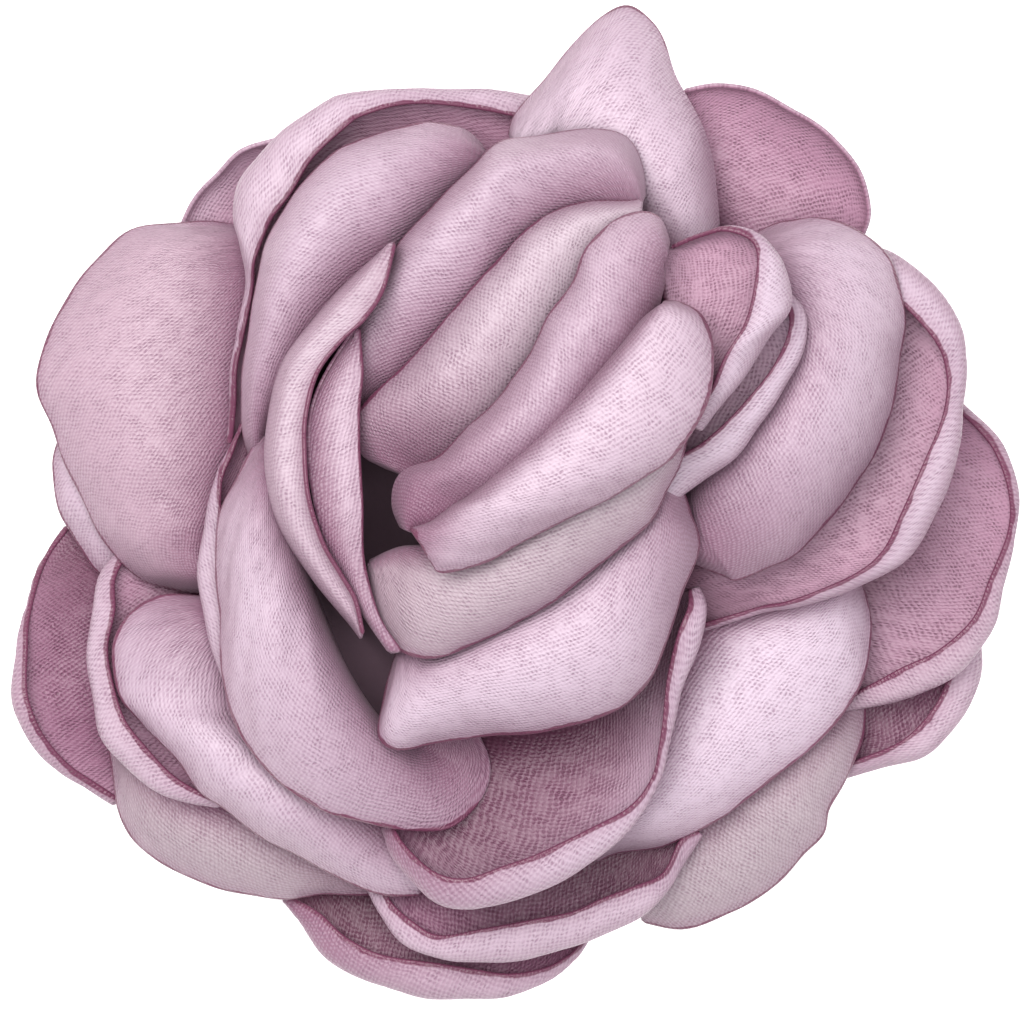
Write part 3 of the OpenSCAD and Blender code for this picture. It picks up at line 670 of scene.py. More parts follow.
def satin_petal(name, root, rim, crest_at=0.5, steep=3, curl=50, start=ROOT_Z, grain=60, wave=0.22,
                tone=0.5, cream=0.0, inside=0.4, fade=4.0, ends=(0.0, 0.0), end_fade=4.5, fold=0.12,
                paler=3.0, glow=0.0, singe=0.16, singed=(0.0, 1.0), cut_ends=(False, False)):
    """One petal: a closed sheet of satin with a rounded, singed rim, between a root line and a rim line.

    The columns of root are x, y and, where there is a third, the height at which the petal leaves its
    foot. Those of rim are x, y, the rim's height, the crest's height and, where the rim rolls back, the
    lip's width. crest_at, steep, curl and start shape the ribs, grain turns the weave and wave is the height
    of the folds.
    tone makes the outside warmer and darker, or greyer where cream makes it creamy, and inside makes the
    inside go from rose to mauve, partly its own colour and partly painted shade, less so within paler of the
    rim, where glow lets the outside's colour through as painted light. Shade is painted over fade from the
    root, where the petal goes under those above it, over end_fade from the two ends, by the strengths in
    ends, and by fold where a lip rolls over. The rim is burnt over singe, along the part of it in singed and
    at the ends that cut_ends names. Lengths are in millimetres.
    """
    random = np.random.default_rng(1 + sum(map(ord, name)))
    rim = np.asarray(rim, float)
    width = np.linalg.norm(np.diff(rim[:, :2], axis=0), axis=1).sum()
    count = int(np.clip(width / COLUMN_PITCH, FEWEST_COLUMNS, MOST_COLUMNS))
    t = np.linspace(0, 1, count)
    lines, foot = ribs(spline(root, t), spline(rim, t), crest_at, steep, curl, start)
    length = np.linalg.norm(np.diff(lines, axis=1), axis=2).sum(axis=1)[:, None]
    inward, shown = row_distances(length, foot)
    grid = at_distances(lines, length - inward)
    place = np.cumsum(np.linalg.norm(np.gradient(grid, axis=0), axis=2), axis=0)
    place = place - place[count // 2]
    grid = waved(grid, place, inward, shown, wave, random)
    normal, flip = upper_normals(grid)
    ring = both_sides(grid, normal, inward)
    mesh, kept, quads = sheet_mesh(name + "_satin", ring, flip)

    edge_distance = inward
    # Painted shade: darkest at the root, where the petal goes under those above it, and towards the ends and
    # under a rolled lip, by the given strengths.
    painted_shade = ROOT_SHADE_SHARE * faded(np.maximum(shown - inward, 0), fade, ROOT_FADES)
    for is_cut, strength, gone in zip(cut_ends, ends, (place - place[0], place[-1] - place)):
        painted_shade = np.maximum(painted_shade, strength * faded(gone, end_fade, ENDS_FADE))
        if is_cut:
            edge_distance = np.minimum(edge_distance, gone)
    if rim.shape[1] > 4:
        lip = np.maximum(spline(rim, t)[:, 4:5], LEAST_LIP)
        fold_reach = FOLD_BLUR + FOLD_REACH * lip
        painted_shade = np.maximum(painted_shade, fold * faded(inward - FOLD_PLACE * lip, fold_reach))
    # Painted light on the inside: it is paler within paler of the rim, and glow lets the outside's colour
    # through there.
    by_rim = faded(inward, paler)
    under = round_rim(1 - glow * by_rim, 1 - glow)
    # A cup's inside is its upper side, and a dome's is its lower one.
    is_upper = np.arange(ring.shape[1]) < grid.shape[1] + len(RIM_TURNS) // 2
    span = (singed[0] - SINGE_FADE, singed[0], singed[1], singed[1] + SINGE_FADE)
    burnt = np.interp(t, span, (0, 1, 1, 0))[:, None]
    # depth carries the painted shade, and back and inside the painted light by the rim.
    layers = {
        "rim_distance": round_rim(edge_distance, 0.0),
        "depth": round_rim(painted_shade, 0.0),
        "back": np.where(is_upper == (curl > CUP_CURL), under, 0.0),
        "tone": tone,
        "cream": cream,
        "inside": round_rim(inside * (1 - RIM_PALER * by_rim), inside * (1 - RIM_PALER)),
        "singe_width": NOT_SINGED + (singe - NOT_SINGED) * burnt,
    }
    for key, values in layers.items():
        values = np.broadcast_to(values, ring.shape[:2]).reshape(-1)[kept]
        mesh.attributes.new(key, "FLOAT", "POINT").data.foreach_set("value", values.astype(np.float32))
    flat = round_rim(cloth_map(lines, grid, place, length - inward, grain))
    flat = flat.reshape(-1, 2)[quads.ravel()] / MAP_UNIT
    mesh.uv_layers.new(name="cloth").data.foreach_set("uv", flat.astype(np.float32).ravel())

    mesh.materials.append(satin)
    piece = bpy.data.objects.new(name + "_satin", mesh)
    bpy.context.collection.objects.link(piece)
    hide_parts("petal_" + name)
    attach(piece, "root")


satin_petal(
    "last_left",
    root=[(-25, -5), (-24.5, -9), (-22.5, -13)],
    rim=[(-33.5, -1.5, 2.5, 2.5, 0.1), (-35, -3.5, 3, 2.8, 0.1), (-36, -5.5, 4, 3.3, 0.2),
         (-37, -8.5, 5.2, 4, 0.5), (-37.3, -11, 5.6, 4.2, 0.7), (-37.5, -14, 5.6, 4.2, 0.9),
         (-37, -16, 5.6, 4.2, 0.9), (-36, -18, 5, 4, 0.9), (-34, -20, 4, 3.3, 0.7),
         (-31.5, -21.5, 3, 2.6, 0.5), (-30, -22.5, 2.5, 2.4, 0.5)],
    curl=80, start=LOW_START, grain=35, tone=0.8, inside=0.9, ends=(0.8, 0), end_fade=6,
)
satin_petal(
    "last_front",
    root=[(-10, -25), (-2, -25.5), (4, -25)],
    rim=[(-17.5, -29.5, 2.2, 2, 0.5), (-16, -31.5, 2.8, 2.3, 1.5), (-14, -34, 3.4, 2.6, 2),
         (-11, -35.5, 3.8, 2.9, 2), (-7, -36.7, 4.1, 3.1, 2.5), (-3.5, -36.8, 4.1, 3.2, 2),
         (-0.5, -36.7, 4.1, 3.2, 1.5), (2.5, -35.7, 4.1, 3.2, 1), (4.5, -34, 3.9, 3.1, 0.5),
         (5.5, -32.5, 3.8, 3, 0.5)],
    curl=80, start=LOW_START, grain=80, inside=1, fade=8, ends=(1, 0), end_fade=14,
    paler=1.2,
)
satin_petal(
    "last_right",
    root=[(25, -9.5), (22, -13), (19, -16)],
    rim=[(34.7, -10, 2.6, 2.3, 1), (34.7, -13, 3, 2.6, 2), (33.3, -16, 3.6, 2.9, 2), (31, -18.5, 4, 3, 2),
         (28, -19.5, 3.6, 2.9, 1.5), (24.5, -20.5, 3.2, 2.6, 1)],
    curl=80, start=LOW_START, grain=100, tone=0.6, inside=1, fade=8.5,
)

# The seventh ring: four low petals, the left and the two front ones domed and the back one cupped.
# They fill the gaps between the larger petals over the edge of the felt, glued by their roots.

satin_petal(
    "seventh_back",
    root=[(-19.5, 17), (-17, 19.5), (-14.5, 21)],
    rim=[(-25, 20.5, 8, 7.4), (-24, 22.5, 9, 7.6), (-22.5, 24.5, 10, 8), (-20.5, 26.5, 11, 8.5),
         (-17.5, 27.5, 11, 9)],
    curl=80, grain=45, fade=1.5, glow=0.8, singe=NOT_SINGED,
)
satin_petal(
    "seventh_left",
    root=[(-26, 4), (-26, -1.5), (-26.5, -4.5)],
    rim=[(-34, 5, 5.5, 7.5), (-34.5, 3, 5, 7.5), (-34, 0, 5, 7.5), (-33, -2, 5, 7), (-31.5, -4.5, 5, 6.5),
         (-30.8, -5.2, 5, 6.3)],
    tone=0.3,
)
satin_petal(
    "seventh_front_left",
    root=[(-28, -16.5), (-26, -20), (-22.5, -22), (-18.5, -23), (-14.5, -25), (-10.5, -27)],
    rim=[(-30.5, -17.2, 5.6, 6.2), (-30, -20.5, 4.6, 6.5), (-29.5, -23, 4.2, 6.8), (-28.5, -25, 4, 6.8),
         (-26.5, -26.5, 4, 6.8), (-23.5, -28, 4, 6.8), (-20.5, -29, 4, 6.8), (-17.5, -29.5, 4, 6.6),
         (-14, -29, 4.6, 6.4), (-10, -29, 5.5, 6.2)],
    crest_at=0.35, steep=2, start=6, grain=150, tone=1.0, cream=0.9, fade=3,
)
satin_petal(
    "seventh_front_right",
    root=[(23.5, -14.5), (20.5, -17.5), (16, -20.6), (12.5, -23.2), (8, -25)],
    rim=[(26.2, -14.8, 4.6, 5.4), (25.8, -17.5, 5, 6.4), (24.7, -20.3, 5, 7), (23.4, -22.6, 5, 7),
         (23, -24.5, 4.6, 7), (21.5, -26, 4.2, 7), (20, -28, 3.8, 6.6), (18, -29.5, 3.8, 6.4),
         (16, -30.5, 3.8, 6.3), (12.5, -31.5, 3.8, 6.2), (9.5, -31, 4, 6.2)],
    crest_at=0.4, steep=2, start=6, grain=150, tone=1.0, cream=0.9, fade=3,
)

# The sixth ring: five cupped petals that stand open, so that the mauve back of the satin shows in them.
# The rims of four roll back over the cup, and the fifth, at the top right, stays open.

satin_petal(
    "sixth_back",
    root=[(-19.4, 4.4), (-18.8, 8), (-17.5, 12), (-15, 17.5), (-9.5, 21.8), (-2, 23), (2.5, 23)],
    rim=[(-21.3, 4.6, 14.2, 13, 0.1), (-21.2, 6, 14.8, 13.4, 0.15), (-21.1, 8, 15.2, 13.8, 0.25),
         (-21, 10.5, 15.5, 14, 0.3), (-20.5, 13, 15.5, 14, 0.4), (-20, 16.5, 15.5, 14, 0.9),
         (-20.5, 19.5, 15.5, 14, 2), (-21, 21.5, 15, 14, 3), (-20.5, 24, 15, 14, 3.5),
         (-19, 26, 15, 14, 3.5), (-17, 28, 15.5, 14, 2.8), (-14, 30, 16, 14, 2.2),
         (-12.5, 30.5, 16, 14, 1.8), (-8.5, 31, 16, 14, 1.2), (-3.5, 31, 15, 13.5, 1.4),
         (0.5, 30.5, 14, 13, 1.6), (3, 29.8, 13.5, 12.5, 1.5)],
    steep=2, curl=80, start=11, grain=70, tone=0.4, inside=0.45, fade=1.5,
)
satin_petal(
    "sixth_left",
    root=[(-22.2, -4.6), (-23.2, -9), (-21.3, -14), (-17, -18.3)],
    rim=[(-29.5, -3.5, 7.5, 7.3, 0.5), (-31, -5.5, 8, 7.3, 1), (-31.5, -8, 9, 7.6, 1.5),
         (-32, -11, 9.5, 7.7, 1.5), (-31.5, -14, 9.5, 7.7, 1.5), (-31, -17, 9.5, 7.7, 2),
         (-29.5, -19, 9.5, 7.7, 2), (-27, -21, 9.5, 7.7, 1.5), (-24.5, -22, 9.5, 7.7, 1),
         (-22, -22.5, 9.5, 7.7, 0.5)],
    curl=80, grain=40, inside=0.45,
)
satin_petal(
    "sixth_front",
    root=[(-6, -25), (0, -25.5), (7, -24.5), (11, -22.5)],
    rim=[(-11, -28.5, 7, 6.6, 1), (-10, -30.5, 7, 6.6, 1), (-8.5, -32.5, 7.5, 6.8, 1.5),
         (-6.5, -33.5, 8, 7, 1.5), (-3.5, -34, 8, 7, 2.5), (0.5, -34, 8, 7, 3), (4, -33, 8, 7, 2.5),
         (6.5, -32, 8, 7, 2.5), (9.5, -30.5, 8, 7, 2), (11.5, -28.5, 8, 7, 1), (13, -26, 7.8, 7, 1),
         (14, -24.5, 7.8, 7, 0.5)],
    curl=80, grain=85, tone=0.4, inside=1, fade=5, paler=2, glow=0.6,
)
satin_petal(
    "sixth_right",
    root=[(26, 4), (26.5, -1), (24.5, -6.5)],
    rim=[(33, 8, 8, 7, 0.5), (35, 6, 8.8, 7.2, 0.5), (36.5, 4, 9.2, 7.4, 0.5), (37.5, 1, 9.2, 7.4, 0.5),
         (37.5, -2, 8.8, 7.2, 0.5), (36.5, -6, 7.8, 6.6, 1), (35.5, -9.5, 7, 6, 1.5),
         (33, -12.5, 6.5, 5.6, 2), (30, -14, 6.2, 5.5, 2), (27, -15, 6, 5.5, 1.5),
         (24.5, -15.5, 6, 5.5, 1)],
    curl=80, grain=5, tone=0.8, inside=0.15,
)
satin_petal(
    "sixth_top_right",
    root=[(12, 22), (15, 20), (18, 17.5)],
    rim=[(12.5, 31, 12, 10.5), (15, 31.5, 12.5, 10.5), (17.5, 31, 13, 10.5), (20.5, 29.5, 13.5, 10.5),
         (23.5, 27.5, 13.5, 10.5), (25.5, 25, 13, 10.5), (26.5, 22, 12, 10), (26, 20, 11, 9.5)],
    curl=80, grain=20, tone=0.9, inside=0.35, fade=0.5, singe=NOT_SINGED,
)

# The fifth ring: four broad domed petals, heat-shaped over a ball, with their singed rims turned down.
# The left one and the top one are the widest that show; the two front ones lie under the cups above them.

satin_petal(
    "fifth_left",
    root=[(-19.4, 19.3), (-19.2, 14), (-19.6, 8), (-20.4, 4), (-21.8, -1.5), (-22.2, -4.8)],
    rim=[(-20, 20.6, 9.5, 11.5), (-23.5, 21, 10, 12), (-28.5, 20.5, 9, 12.5), (-31.5, 18, 8.5, 12.8),
         (-33.5, 15.5, 8.5, 12.8), (-35, 12, 8.5, 12.8), (-35.5, 9, 8.5, 12.8), (-34.5, 6, 8.5, 12.8),
         (-33.5, 3, 8.5, 12.8), (-32, 0, 8.5, 12.5), (-30.5, -3, 8.5, 12.5), (-28, -5.3, 8.8, 12),
         (-25.5, -6, 8.8, 11.8), (-23.5, -6.2, 9, 11.4)],
    crest_at=0.45, steep=2, start=10, tone=1.0, fade=6, ends=(0.1, 0.3), end_fade=7,
)
satin_petal(
    "fifth_top",
    root=[(0.5, 25), (6, 24.5), (11.3, 19)],
    rim=[(-0.5, 27.5, 17, 18), (0, 29, 16.5, 18.5), (2.5, 32, 15.5, 18.5), (5, 35, 14.5, 18),
         (7, 36.5, 14, 18), (8.5, 37, 13.5, 18), (10, 36, 13.5, 18), (11, 34.5, 14, 18),
         (12, 32, 14.5, 18), (13, 30, 14.5, 18), (14, 28, 14.5, 18), (14.6, 25.5, 14, 17.5),
         (15, 22.5, 14, 17), (15, 20.5, 14, 16.5)],
    crest_at=0.4, steep=2, start=15, grain=55, tone=0.35, fade=2.5, ends=(0, 0.05),
    singed=(0, 0.55),
)
satin_petal(
    "fifth_front_left",
    root=[(-21.5, -7.6), (-20.8, -11.5), (-19.2, -16.2), (-16.6, -19.2), (-12.5, -21.8), (-8, -23)],
    rim=[(-23, -7, 11, 12), (-24.5, -7, 11.5, 12.5), (-26.5, -7, 11.5, 13), (-28.5, -8, 11, 13),
         (-30, -10.5, 11, 13), (-29.5, -14, 10.8, 13.2), (-28, -16, 11, 14), (-25.5, -18.5, 11.5, 14.5),
         (-23.5, -21, 11, 14.5), (-21.5, -22.5, 11, 14.5), (-18.5, -25, 10.5, 14), (-15.5, -26.5, 10, 13),
         (-12.5, -28, 9.5, 12), (-9.5, -29, 9, 11), (-7, -29, 9, 10.8)],
    crest_at=0.45, steep=2, start=10, grain=120, tone=0.1, fade=5, ends=(1, 0), end_fade=8,
)
satin_petal(
    "fifth_front_right",
    root=[(24, -5.4), (19, -7.3), (14, -8.8), (11.6, -12.5), (10, -16.8), (8.2, -20.8), (6, -23.8)],
    rim=[(25.4, -5, 8.5, 10.5), (26.3, -8, 8.5, 11.5), (26.5, -10.5, 8.5, 12), (26, -13, 8.5, 12),
         (24.5, -15.5, 8.5, 12), (21.5, -18.5, 8.5, 12), (19.5, -20, 8.5, 12), (17, -22, 8.5, 12),
         (14, -24, 8.5, 12), (11, -25.5, 8.5, 12), (7.5, -26, 9, 11.5), (6, -26.5, 9, 11)],
    crest_at=0.35, steep=2, start=10.5, grain=50, tone=0.0, fade=3.4,
)

# The fourth ring: three cupped petals whose rims roll back over the cup as a pale lip.
# Their mauve insides show between the lip and the taller petals that stand in them.

satin_petal(
    "fourth_left",
    root=[(-19.4, 5), (-19.2, -2), (-19, -7), (-18, -12.5)],
    rim=[(-20.4, 6.3, 15.2, 13.6, 0.1), (-21.3, 4, 15.2, 13.6, 0.2), (-22.2, 2, 15.2, 13.6, 0.4),
         (-23, -1.5, 15.2, 13.6, 1.2), (-23.5, -5, 15.2, 13.6, 1.5), (-23, -8.5, 15.2, 13.6, 1.5),
         (-22.5, -11, 15.2, 13.6, 1), (-21.5, -14, 15.2, 13.6, 0.5)],
    steep=2, curl=80, start=10, grain=70, tone=0.3, inside=0.8,
)
satin_petal(
    "fourth_front",
    root=[(-6, -17), (3.5, -12.5), (10.5, -7)],
    rim=[(-10, -24, 13, 11.5, 1), (-9, -26.5, 14, 12, 1.4), (-6.5, -29, 15, 12.5, 1.7),
         (-4, -29.9, 15.2, 12.5, 2), (-1, -29.5, 15.4, 12.5, 2.5), (2, -28.6, 15.4, 12.5, 2.6),
         (6.2, -26.2, 15.4, 12.5, 2.1), (9, -23.6, 15.4, 12.5, 1.1), (10.5, -20.8, 15.6, 13, 0.5),
         (11.3, -17.6, 16, 13.5, 0.6), (12.3, -14, 16.2, 13.5, 1.3), (13.8, -10, 17, 14, 1.6),
         (14.2, -7.6, 17, 14, 1.2), (13.6, -6, 16.4, 14, 0.6)],
    steep=2, curl=80, start=8.5, grain=85, tone=0.2, inside=1.25, fade=10, ends=(1, 0),
    end_fade=12, fold=0.2, paler=5.5, glow=0.75,
)
satin_petal(
    "fourth_right",
    root=[(22, 15.5), (23, 6.5), (18, -1), (12, -4), (10.5, -6)],
    rim=[(26, 19.5, 13.5, 12.5, 1.5), (28.5, 18.5, 14.5, 12.5, 2.5), (31, 16.5, 14.5, 12.5, 2.5),
         (33, 13.5, 14.5, 12.5, 2), (33.5, 11, 14.5, 12.5, 1.5), (33.5, 8, 14.5, 12.5, 1.5),
         (33, 4, 14.5, 12.5, 2.5), (31.5, 0, 14.5, 12.5, 2.5), (29.5, -3.5, 14.5, 12.5, 2),
         (26.5, -5.5, 14.5, 12.5, 1.4), (21.5, -7.5, 14, 12, 1), (18.5, -8, 13.5, 11.5, 0.6),
         (14.5, -9.1, 12.8, 11, 0.4), (12.5, -9.3, 12, 10.5, 0.2)],
    steep=2, curl=80, start=10, grain=20, tone=0.3, inside=0.1, ends=(0.1, 0.6), fold=0.6,
)

# The third ring: three tall domed petals that wrap the middle of the flower.
# Each is a long fold: its root is glued under the ring above, and its rim turns down outside.

satin_petal(
    "third_left",
    root=[(-18, 5.4, 17.8), (-17.6, 2.6, 17.5), (-16.8, -0.4, 17), (-16, -3, 16.5), (-15, -6.4, 15),
          (-13.2, -11, 13.5), (-11.2, -15.6, 13), (-9, -17.4, 12.5)],
    rim=[(-18.9, 5, 18, 18.6), (-20.2, 2.6, 18.2, 19.8), (-21.7, -0.3, 18.4, 21), (-22.2, -4, 18.4, 21.8),
         (-22, -8, 18.2, 22), (-21.5, -13, 17.8, 22), (-20, -17.5, 17, 22), (-17.5, -20.5, 16.6, 21.5),
         (-14.5, -22.5, 16.4, 21), (-11.5, -23.5, 15.8, 19.8), (-8.5, -24, 15, 18.2),
         (-5.5, -24, 14, 16.4), (-3.5, -22.8, 13.2, 15), (-2.2, -21, 12.8, 14.2), (-2, -19, 12.8, 14),
         (-2.8, -17, 13, 14)],
    crest_at=0.42, steep=2.2, grain=130, tone=0.1, fade=7, ends=(0.3, 1), end_fade=14,
    singe=0.3, singed=(0, 0.8),
)
satin_petal(
    "third_right",
    root=[(17.3, 18.5, 16.5), (18.8, 15, 16.5), (19.2, 11.5, 16.8), (18, 8.6, 16.6), (15.2, 4.7, 16),
          (13.2, 2, 15.2), (12.4, -0.6, 14), (12.6, -3, 13)],
    rim=[(17, 19.5, 16.5, 18), (20, 21, 16.8, 19), (24, 21, 17, 20.3), (27.5, 18.5, 17, 21),
         (29, 14, 16.8, 21.5), (28.5, 10, 16.5, 21.5), (27.5, 6, 16.2, 21.5), (25.5, 2, 16, 21.3),
         (21.5, -3, 16, 20.5), (19, -4.6, 16, 20), (16.6, -5.5, 16, 19.2), (15.6, -5.1, 16, 18.6),
         (13.6, -4.2, 16, 18), (12, -3.4, 16, 17)],
    crest_at=0.4, steep=2, grain=120, tone=0.15, fade=7.5, ends=(0, 1), end_fade=13,
    singe=0.2,
)
satin_petal(
    "third_back",
    root=[(-1.4, 25.4, 17), (-4.3, 22.4, 15.5), (-7.4, 18.9, 15), (-11.9, 15, 15), (-14.4, 11.8, 15),
          (-16.2, 8.6, 15), (-18.3, 5, 14.5), (-18.6, 2.6, 13)],
    rim=[(-2.5, 26.5, 18, 19), (-4, 28, 18.5, 20), (-6.5, 28.5, 18.8, 20.8), (-9, 28, 18.6, 21.4),
         (-11.5, 27, 18.5, 22), (-13.5, 26, 18.5, 22.2), (-15.5, 24, 18.5, 22.4), (-17, 22, 18.5, 22.4),
         (-18.5, 19, 18.5, 22.2), (-19.5, 15, 18.5, 22), (-20, 11.5, 18.5, 21.5), (-20.1, 8, 18, 20.3),
         (-20, 5.4, 17, 18.6), (-19.6, 3, 14.5, 15.5)],
    crest_at=0.64, steep=2, grain=40, tone=0.1, fade=10.5, ends=(0.4, 0.5), singe=0.2,
    singed=(0.1, 1),
)

# The second ring: three petals closed round the heart, glued one over the other.
# The front and back ones are long folds, and the right one is a narrow cup with a broad pale lip.

satin_petal(
    "second_front",
    root=[(-8.5, -9.8), (-6, -9.6), (-3.2, -8.9), (-0.2, -7.2), (2.8, -5), (5.7, -2.9), (8.6, -0.7),
          (10.4, 2)],
    rim=[(-8.5, -10.5, 18.8, 19.8), (-9.5, -14, 18.6, 20.6), (-10, -17, 18.4, 21),
         (-8.5, -18, 18.4, 21.8), (-5, -17.5, 18.6, 22.4), (-1, -17, 18.8, 23), (2.5, -16.5, 18.8, 23.2),
         (6.5, -15.5, 18.8, 23.2), (8.6, -14.4, 18.6, 23.2), (10.5, -11.9, 18.6, 23.2),
         (12.3, -7, 18.8, 23), (13.5, -3, 19.2, 22.8), (12.8, -0.6, 20, 22.4), (12.2, 1.2, 20.6, 22)],
    crest_at=0.4, steep=2, start=18.5, grain=20, tone=0.1, fade=5.5, ends=(0.0, 0.9),
    end_fade=9, singe=0.3,
)
satin_petal(
    "second_back",
    root=[(-11, 7.2, 19.5), (-7.8, 9.4, 20), (-4.9, 12.4, 20), (-2.6, 14.6, 20), (-0.4, 17.6, 20),
          (1.3, 19.2, 20), (3.7, 20.8, 20), (6.7, 21.2, 20), (9, 20.6, 20)],
    rim=[(-12.4, 7.6, 20.2, 20.8), (-12.4, 11.5, 20.6, 22.6), (-11.2, 15.5, 21.2, 23.4),
         (-9, 18.6, 21.6, 24.2), (-7.1, 20.9, 21.8, 24.8), (-5.2, 22.9, 21.6, 25), (-2.9, 25.2, 21, 24.8),
         (-1, 26.9, 20.4, 24.5), (2, 27.5, 20, 24), (5.5, 28, 19.6, 23.5), (8, 27.3, 19.2, 23),
         (9.2, 25.3, 19, 22.5), (9.5, 22.8, 19.4, 22)],
    crest_at=0.7, steep=2, grain=10, tone=0.2, fade=7.5, ends=(0.9, 0), end_fade=7,
    singe=0.2,
)
satin_petal(
    "second_right",
    root=[(14.8, 14), (14.2, 9), (12.2, 5.6), (9.6, 3)],
    rim=[(20, 16, 21.5, 20.3, 0.5), (21.5, 14, 22, 20.6, 1), (21.3, 11.2, 22.4, 20.8, 1.8),
         (19.7, 8.3, 22.4, 20.8, 2.1), (18, 6, 22.2, 20.6, 2.2), (16.4, 3.8, 22, 20.4, 2.6),
         (14, 2, 21.5, 19.8, 2.7), (11.4, 0.2, 21, 19.5, 1.8)],
    steep=2, curl=80, start=18, tone=0.1, inside=0.2, fade=1, paler=6, glow=0.9,
)

# The inner ring: four narrow petals folded round the heart, their roots pinched together.
# The left one stands on edge, so that its pale outer face shows beside its singed rim.

satin_petal(
    "inner_front",
    root=[(-10.9, -4.2, 22.2), (-8.6, -3.2, 22.6), (-6.2, -3, 23.4), (-1.5, -2.3, 23.6), (2.8, 0.2, 23.6),
          (5.7, 1.9, 23.6), (8.6, 3.5, 23.6), (10.4, 5.2, 23.6), (13, 8.8, 24)],
    rim=[(-10.9, -4.4, 22.4, 23), (-10.8, -6.4, 22.4, 23.8), (-9.8, -9.3, 22.4, 24.4),
         (-8, -10.8, 22.5, 25.2), (-5.5, -11, 22.8, 26), (-2.5, -10, 23, 26.6), (0.5, -8.5, 23.4, 27),
         (3.5, -6.5, 23.6, 27), (6.5, -4, 23.8, 27), (9.5, -1.5, 23.8, 27), (11, 1, 24, 26.8),
         (12.2, 3, 24.4, 26.6), (13, 5.5, 24.8, 26.6), (14.3, 8.4, 25, 26.5)],
    crest_at=0.35, steep=2, grain=15, tone=0.85, cream=0.7, fade=2.5, ends=(0.6, 0.2),
    singe=0.3,
)
satin_petal(
    "inner_back",
    root=[(-7.6, 1.4), (-4.8, 2.6), (-2.3, 4.8), (0, 7.6), (3.6, 13.2), (6.2, 17.8), (9.4, 20.6)],
    rim=[(-8.5, 2.5, 21.6, 22), (-10, 3, 21.8, 22.6), (-11.4, 4, 22, 23), (-11.5, 7, 23.2, 24.6),
         (-8.5, 10, 23.8, 26), (-5.5, 13, 24, 26.4), (-3.5, 15.5, 24.2, 26.6), (-1, 18.5, 24.2, 26.6),
         (1, 20.5, 24, 26.2), (3.5, 22, 23.6, 25.8), (6.5, 22.5, 23.4, 25.2), (9.5, 22.5, 23, 24.6)],
    crest_at=0.6, steep=2, start=22.8, grain=150, tone=0.1, cream=0.6, fade=2.5,
    ends=(1, 0), end_fade=12, singe=0.2, singed=(0.28, 1),
)
satin_petal(
    "inner_left",
    root=[(-9.1, 19.5), (-12.6, 16.4), (-15.4, 13.2), (-17.3, 10.5), (-18.2, 7), (-18.5, 3),
          (-17.6, -1.2), (-15, -5.4), (-12.3, -8.7), (-11.4, -9.9)],
    rim=[(-8.9, 19.5, 25, 25), (-9.8, 16, 26, 25.8), (-11.2, 13.8, 27, 26.7), (-12.9, 12.2, 27, 26.7),
         (-14.7, 9.8, 27, 26.6), (-15.5, 7, 27, 26.5), (-15.6, 4, 27, 26.4), (-15.2, 0.6, 27, 26.2),
         (-14.3, -2.6, 26.4, 25.6), (-12.9, -5.2, 25.6, 24.8), (-11.8, -7.2, 25, 24.2),
         (-11.3, -9.6, 24.5, 23.6)],
    steep=2.5, start=19, grain=70, wave=0.12, tone=0.6, cream=0.3, fade=5, singe=0.05,
)
satin_petal(
    "inner_right",
    root=[(10.8, 18.8), (11.1, 15.6), (12, 12), (12.9, 8.4), (12.6, 6)],
    rim=[(11.6, 19.2, 25, 24, 0.1), (13.9, 20.1, 25.5, 24, 0.15), (16, 20.5, 26, 24, 0.2),
         (18.4, 19.6, 26, 24, 0.6), (20, 17.5, 25.8, 24, 2.5), (20.4, 14.8, 25.4, 23.8, 3.7),
         (18.8, 12.5, 25.4, 23.8, 3.6), (16.9, 9.5, 25.6, 24, 2.4), (14.9, 7.1, 25.5, 24, 1.3),
         (13.7, 5.5, 24.8, 23.6, 0.6)],
    steep=2, curl=80, start=24.2, grain=75, tone=0.1, inside=0.15, fade=0.2,
)

# The heart: the last three petals, rolled tight and glued in the middle; they stand highest.
# The front one lies over the back one, and the left one stands on edge between them and the inner ring.

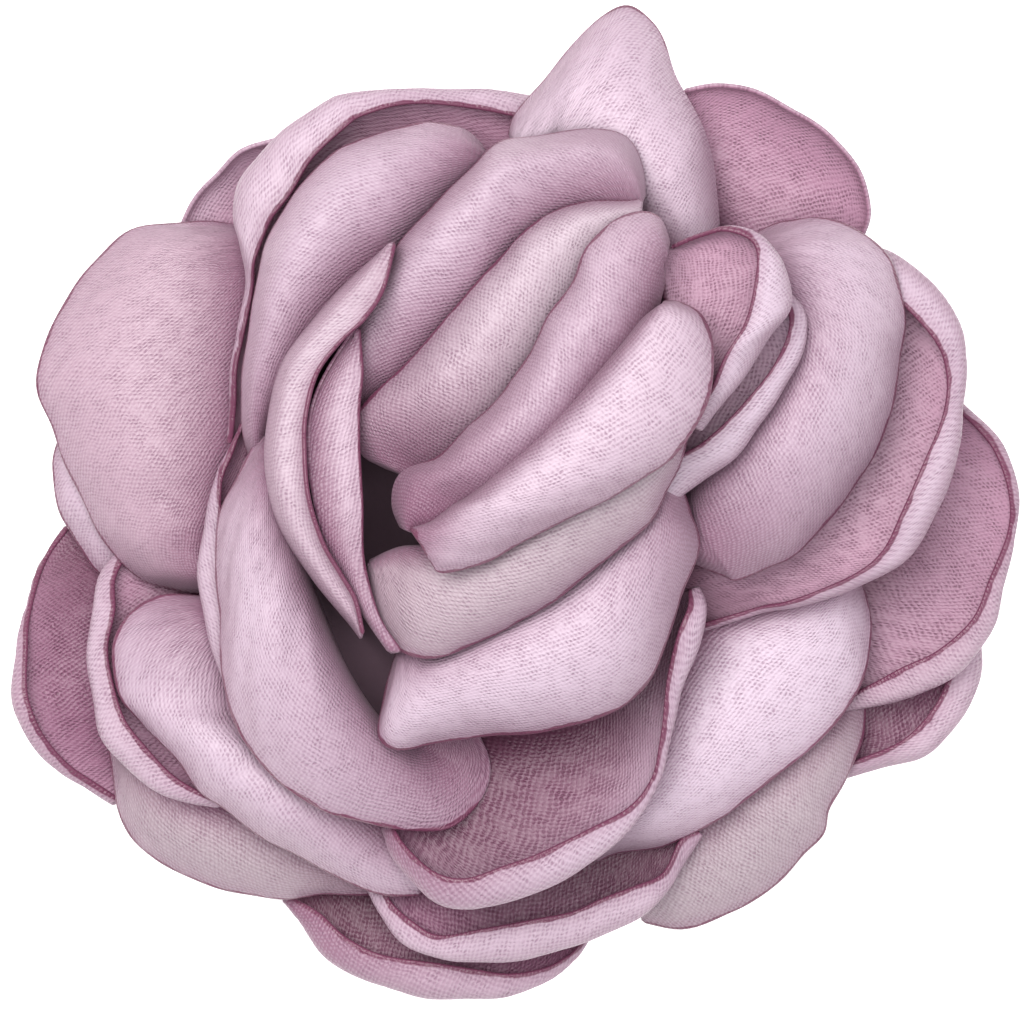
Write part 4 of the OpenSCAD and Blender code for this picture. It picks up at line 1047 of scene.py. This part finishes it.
satin_petal(
    "heart_left",
    root=[(-11.9, 13.1, 25.4), (-14, 9.8, 25.8), (-15.1, 7, 25.8), (-15.3, 4, 25.6), (-14.9, 0.6, 25.2),
          (-14, -2.6, 24.5), (-12.6, -5.4, 23.6), (-11.4, -7.8, 23.4), (-9.2, -11, 23.4)],
    rim=[(-11.7, 13.2, 25, 25.2), (-11.4, 10, 25, 25.2), (-11.6, 7.5, 25, 25.2), (-11.6, 4.1, 25, 25.2),
         (-11.4, 0.4, 25, 25.2), (-11.3, -4, 24.6, 24.8), (-10.2, -8.2, 24.2, 24.4),
         (-8.5, -10.9, 24, 24.2)],
    crest_at=0.6, steep=2, grain=85, wave=0.1, tone=0.6, fade=2, singe=0.06,
)
satin_petal(
    "heart_back",
    root=[(-7.2, -2.2, 25), (-2.2, -0.2, 25), (3.8, 5.2, 25), (6.8, 9, 25), (9.8, 12.7, 25),
          (10.8, 15.6, 25.5), (11, 17.2, 25.5)],
    rim=[(-8.4, -1.8, 25, 26.4), (-9, 0.2, 25, 27.2), (-8.4, 2.2, 25.6, 28), (-5.8, 3.4, 27, 29.8),
         (-3.5, 5.5, 27.8, 31), (-1, 8, 28.2, 31.2), (1, 11.2, 28.2, 31.2), (2.5, 14, 28.2, 31),
         (4.5, 16.5, 28, 30.8), (5.5, 19, 27.8, 30.2), (7.2, 20.8, 27.4, 29.6), (9.2, 21.6, 27, 29),
         (10.7, 21.2, 26.6, 28.4), (11.4, 19.2, 26, 28)],
    crest_at=0.6, steep=2, grain=150, tone=0.35, fade=7.5, ends=(1, 0.1), end_fade=15,
    singe=0.26, singed=(0.22, 0.9),
)
satin_petal(
    "heart_front",
    root=[(-7.8, -1.8, 28.4), (-6.2, -1.3, 27.8), (-4.6, -0.1, 27), (-2.7, 1.2, 26.5), (2.3, 5.9, 26.5),
          (6, 9.8, 26.5), (9.2, 13.5, 26.5), (10.6, 14.6, 26.5)],
    rim=[(-5.9, -4.6, 28.4, 29.2), (-5.2, -4.8, 28.2, 29.6), (-3.6, -4.5, 28.2, 30.2),
         (-1, -3.6, 28.2, 31), (3.5, -1.1, 28.6, 32), (6.4, 0.5, 28.8, 32.3), (9.3, 2.1, 29, 32.4),
         (11.9, 4, 29.2, 32.4), (13.8, 6.9, 29.4, 32.4), (14.6, 9.4, 29.4, 32.3), (14.6, 12, 29.2, 32),
         (13.8, 14, 29, 31.4), (12.3, 14.8, 28.6, 30.6), (10.9, 14.8, 28.2, 30)],
    crest_at=0.42, steep=2.6, grain=20, tone=0.4, fade=3.8, singe=0.3,
    cut_ends=(True, False),
)
